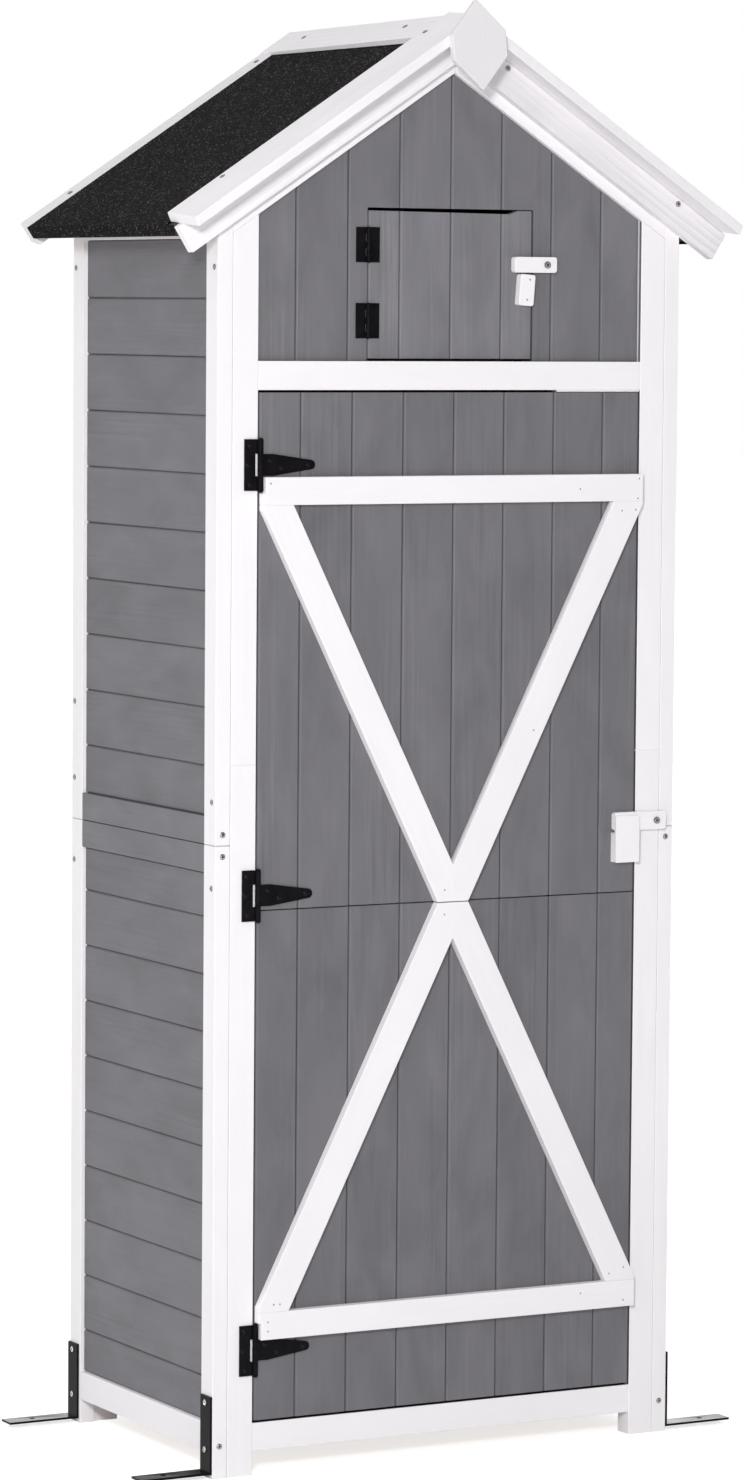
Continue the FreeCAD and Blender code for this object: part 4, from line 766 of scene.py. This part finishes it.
# Where nails show, in millimetres to the right of the middle and above the ground
HANDLE_NAILS = [(111, 1536), (107, 1510)]
TOP_RAIL_NAILS = [(-270, 1275), (185, 1264), (275, 1277)]
UPPER_BRACE_NAILS = [(249, 1235), (270, 1236), (273, 1251), (118, 950), (-13, 746)]
LOWER_BRACE_NAILS = [(-13, 714), (-259, 222), (-250, 222), (242, 223), (264, 230)]
BOTTOM_RAIL_NAILS = [(-267, 200), (-267, 188), (198, 200), (264, 186)]
DOOR_NAILS = TOP_RAIL_NAILS + UPPER_BRACE_NAILS + LOWER_BRACE_NAILS + BOTTOM_RAIL_NAILS
NAIL_HEIGHT = 0.15 * MM


def nail_heads(name, body, node, spots, radius):
    """Small round nail heads on the front of a node."""
    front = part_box(node)[0][1]
    places = [((x * MM, front, z * MM), FRONT, radius, NAIL_HEIGHT) for x, z in spots]
    joined_heads(name, body, "zinc_screws", "dull_screws", places)


nail_heads("handle_nail_heads", "hatch", "hatch_handle", HANDLE_NAILS, 1.2 * MM)
nail_heads("door_nail_heads", "main_door", "door_rails", DOOR_NAILS, 1.1 * MM)


# Floor, light and camera


# Half the floor's width, in metres
FLOOR_REACH = 30.0


def soft_floor():
    """A white floor that keeps the object's shadow; the camera and polished metal see it brighter."""
    f = Finish("studio_floor")
    camera = f.node("ShaderNodeLightPath", {}, {}, "Is Camera Ray")
    glossy = f.node("ShaderNodeLightPath", {}, {}, "Is Glossy Ray")
    cloud = f.noise(f.place(), 2.0)
    base = f.blend(cloud + 0.5, shade(FLOOR_GREY), shade(FLOOR_WHITE))
    glow = f.blend(camera.larger(glossy), shade(BLACK), shade(FLOOR_GLOW))
    material = f.done(Base_Color=base, Roughness=0.9, Specular_IOR_Level=0.0, Emission_Color=glow,
                      Emission_Strength=1.0)
    reach = FLOOR_REACH
    corners = [(-reach, -reach, 0), (reach, -reach, 0), (reach, reach, 0), (-reach, reach, 0)]
    mesh = bpy.data.meshes.new("floor_shape")
    mesh.from_pydata(corners, [], [(0, 1, 2, 3)])
    mesh.materials.append(material)
    floor = bpy.data.objects.new("studio_floor", mesh)
    bpy.context.scene.collection.objects.link(floor)


def soft_world(horizon, zenith, wall):
    """White light, mostly from above, and some from the back wall. The camera sees plain white, and
    so does metal that faces the back wall; the room in front of the object is darker."""
    world = bpy.data.worlds.new("studio")
    bpy.context.scene.world = world
    world.use_nodes = True
    sky = Recipe(world.node_tree)
    camera = sky.node("ShaderNodeLightPath", {}, {}, "Is Camera Ray")
    glossy = sky.node("ShaderNodeLightPath", {}, {}, "Is Glossy Ray")
    way = sky.node("ShaderNodeTexCoord", {}, {}, "Generated")
    back = sky.node("ShaderNodeSeparateXYZ", {}, {0: way}, "Y")
    behind = sky.ramp(back + 0.5, [(0.4, 0.15), (0.7, 1.0)])
    seen = camera.larger(glossy * behind)
    up = sky.node("ShaderNodeSeparateXYZ", {}, {0: way}, "Z")
    level = horizon - up.larger(0.0) * (horizon - zenith)
    level = level + back.larger(0.0) * wall
    strength = level * (1 - seen) + seen
    light = sky.node("ShaderNodeBackground", {}, {"Color": (1, 1, 1, 1), "Strength": strength})
    sky.node("ShaderNodeOutputWorld", {}, {"Surface": light})


def soft_lamp(name, place, aim, size, power):
    """A square studio lamp that points at a spot and isn't seen itself."""
    lamp = bpy.data.lights.new(name, "AREA")
    lamp.size = size
    lamp.energy = power
    holder = bpy.data.objects.new(name, lamp)
    holder.location = place
    holder.rotation_euler = (Vector(aim) - Vector(place)).to_track_quat("-Z", "Y").to_euler()
    holder.visible_camera = False
    bpy.context.scene.collection.objects.link(holder)


# The photo's camera, solved from the cabinet's own edges: angles in degrees, lens in millimetres
CAMERA_PLACE = (-3.4206, -6.3005, 1.4977)
CAMERA_TURN = 28.65
CAMERA_NOD = -4.49
CAMERA_ROLL = 0.45
CAMERA_LENS = 131.61
CAMERA_SHIFT = (-0.01358, -0.00466)


def photo_camera():
    turn, nod, roll = (math.radians(angle) for angle in (CAMERA_TURN, CAMERA_NOD, CAMERA_ROLL))
    ahead = Vector((math.sin(turn) * math.cos(nod), math.cos(turn) * math.cos(nod), math.sin(nod)))
    level = Vector((math.cos(turn), -math.sin(turn), 0))
    upright = level.cross(ahead)
    right = level * math.cos(roll) + upright * math.sin(roll)
    up = upright * math.cos(roll) - level * math.sin(roll)
    camera = bpy.data.cameras.new("photo_camera")
    camera.lens = CAMERA_LENS
    camera.shift_x, camera.shift_y = CAMERA_SHIFT
    camera.clip_end = 100
    holder = bpy.data.objects.new("photo_camera", camera)
    facing = Matrix((right, up, -ahead)).transposed().to_4x4()
    facing.translation = Vector(CAMERA_PLACE)
    holder.matrix_world = facing
    bpy.context.scene.collection.objects.link(holder)
    bpy.context.scene.camera = holder


soft_floor()
soft_world(horizon=0.04, zenith=0.8, wall=0.3)
soft_lamp("front_lamp", place=(-3.0, -4.4, 2.35), aim=(0, 0, 1.0), size=0.6, power=144)
soft_lamp("low_lamp", place=(-1.2, -3.6, 0.3), aim=(0, 0, 0.4), size=1.4, power=19)
soft_lamp("side_lamp", place=(-4.6, -0.6, 1.6), aim=(0, 0, 1.0), size=3.0, power=36)
photo_camera()
bpy.context.scene.view_settings.view_transform = "Standard"
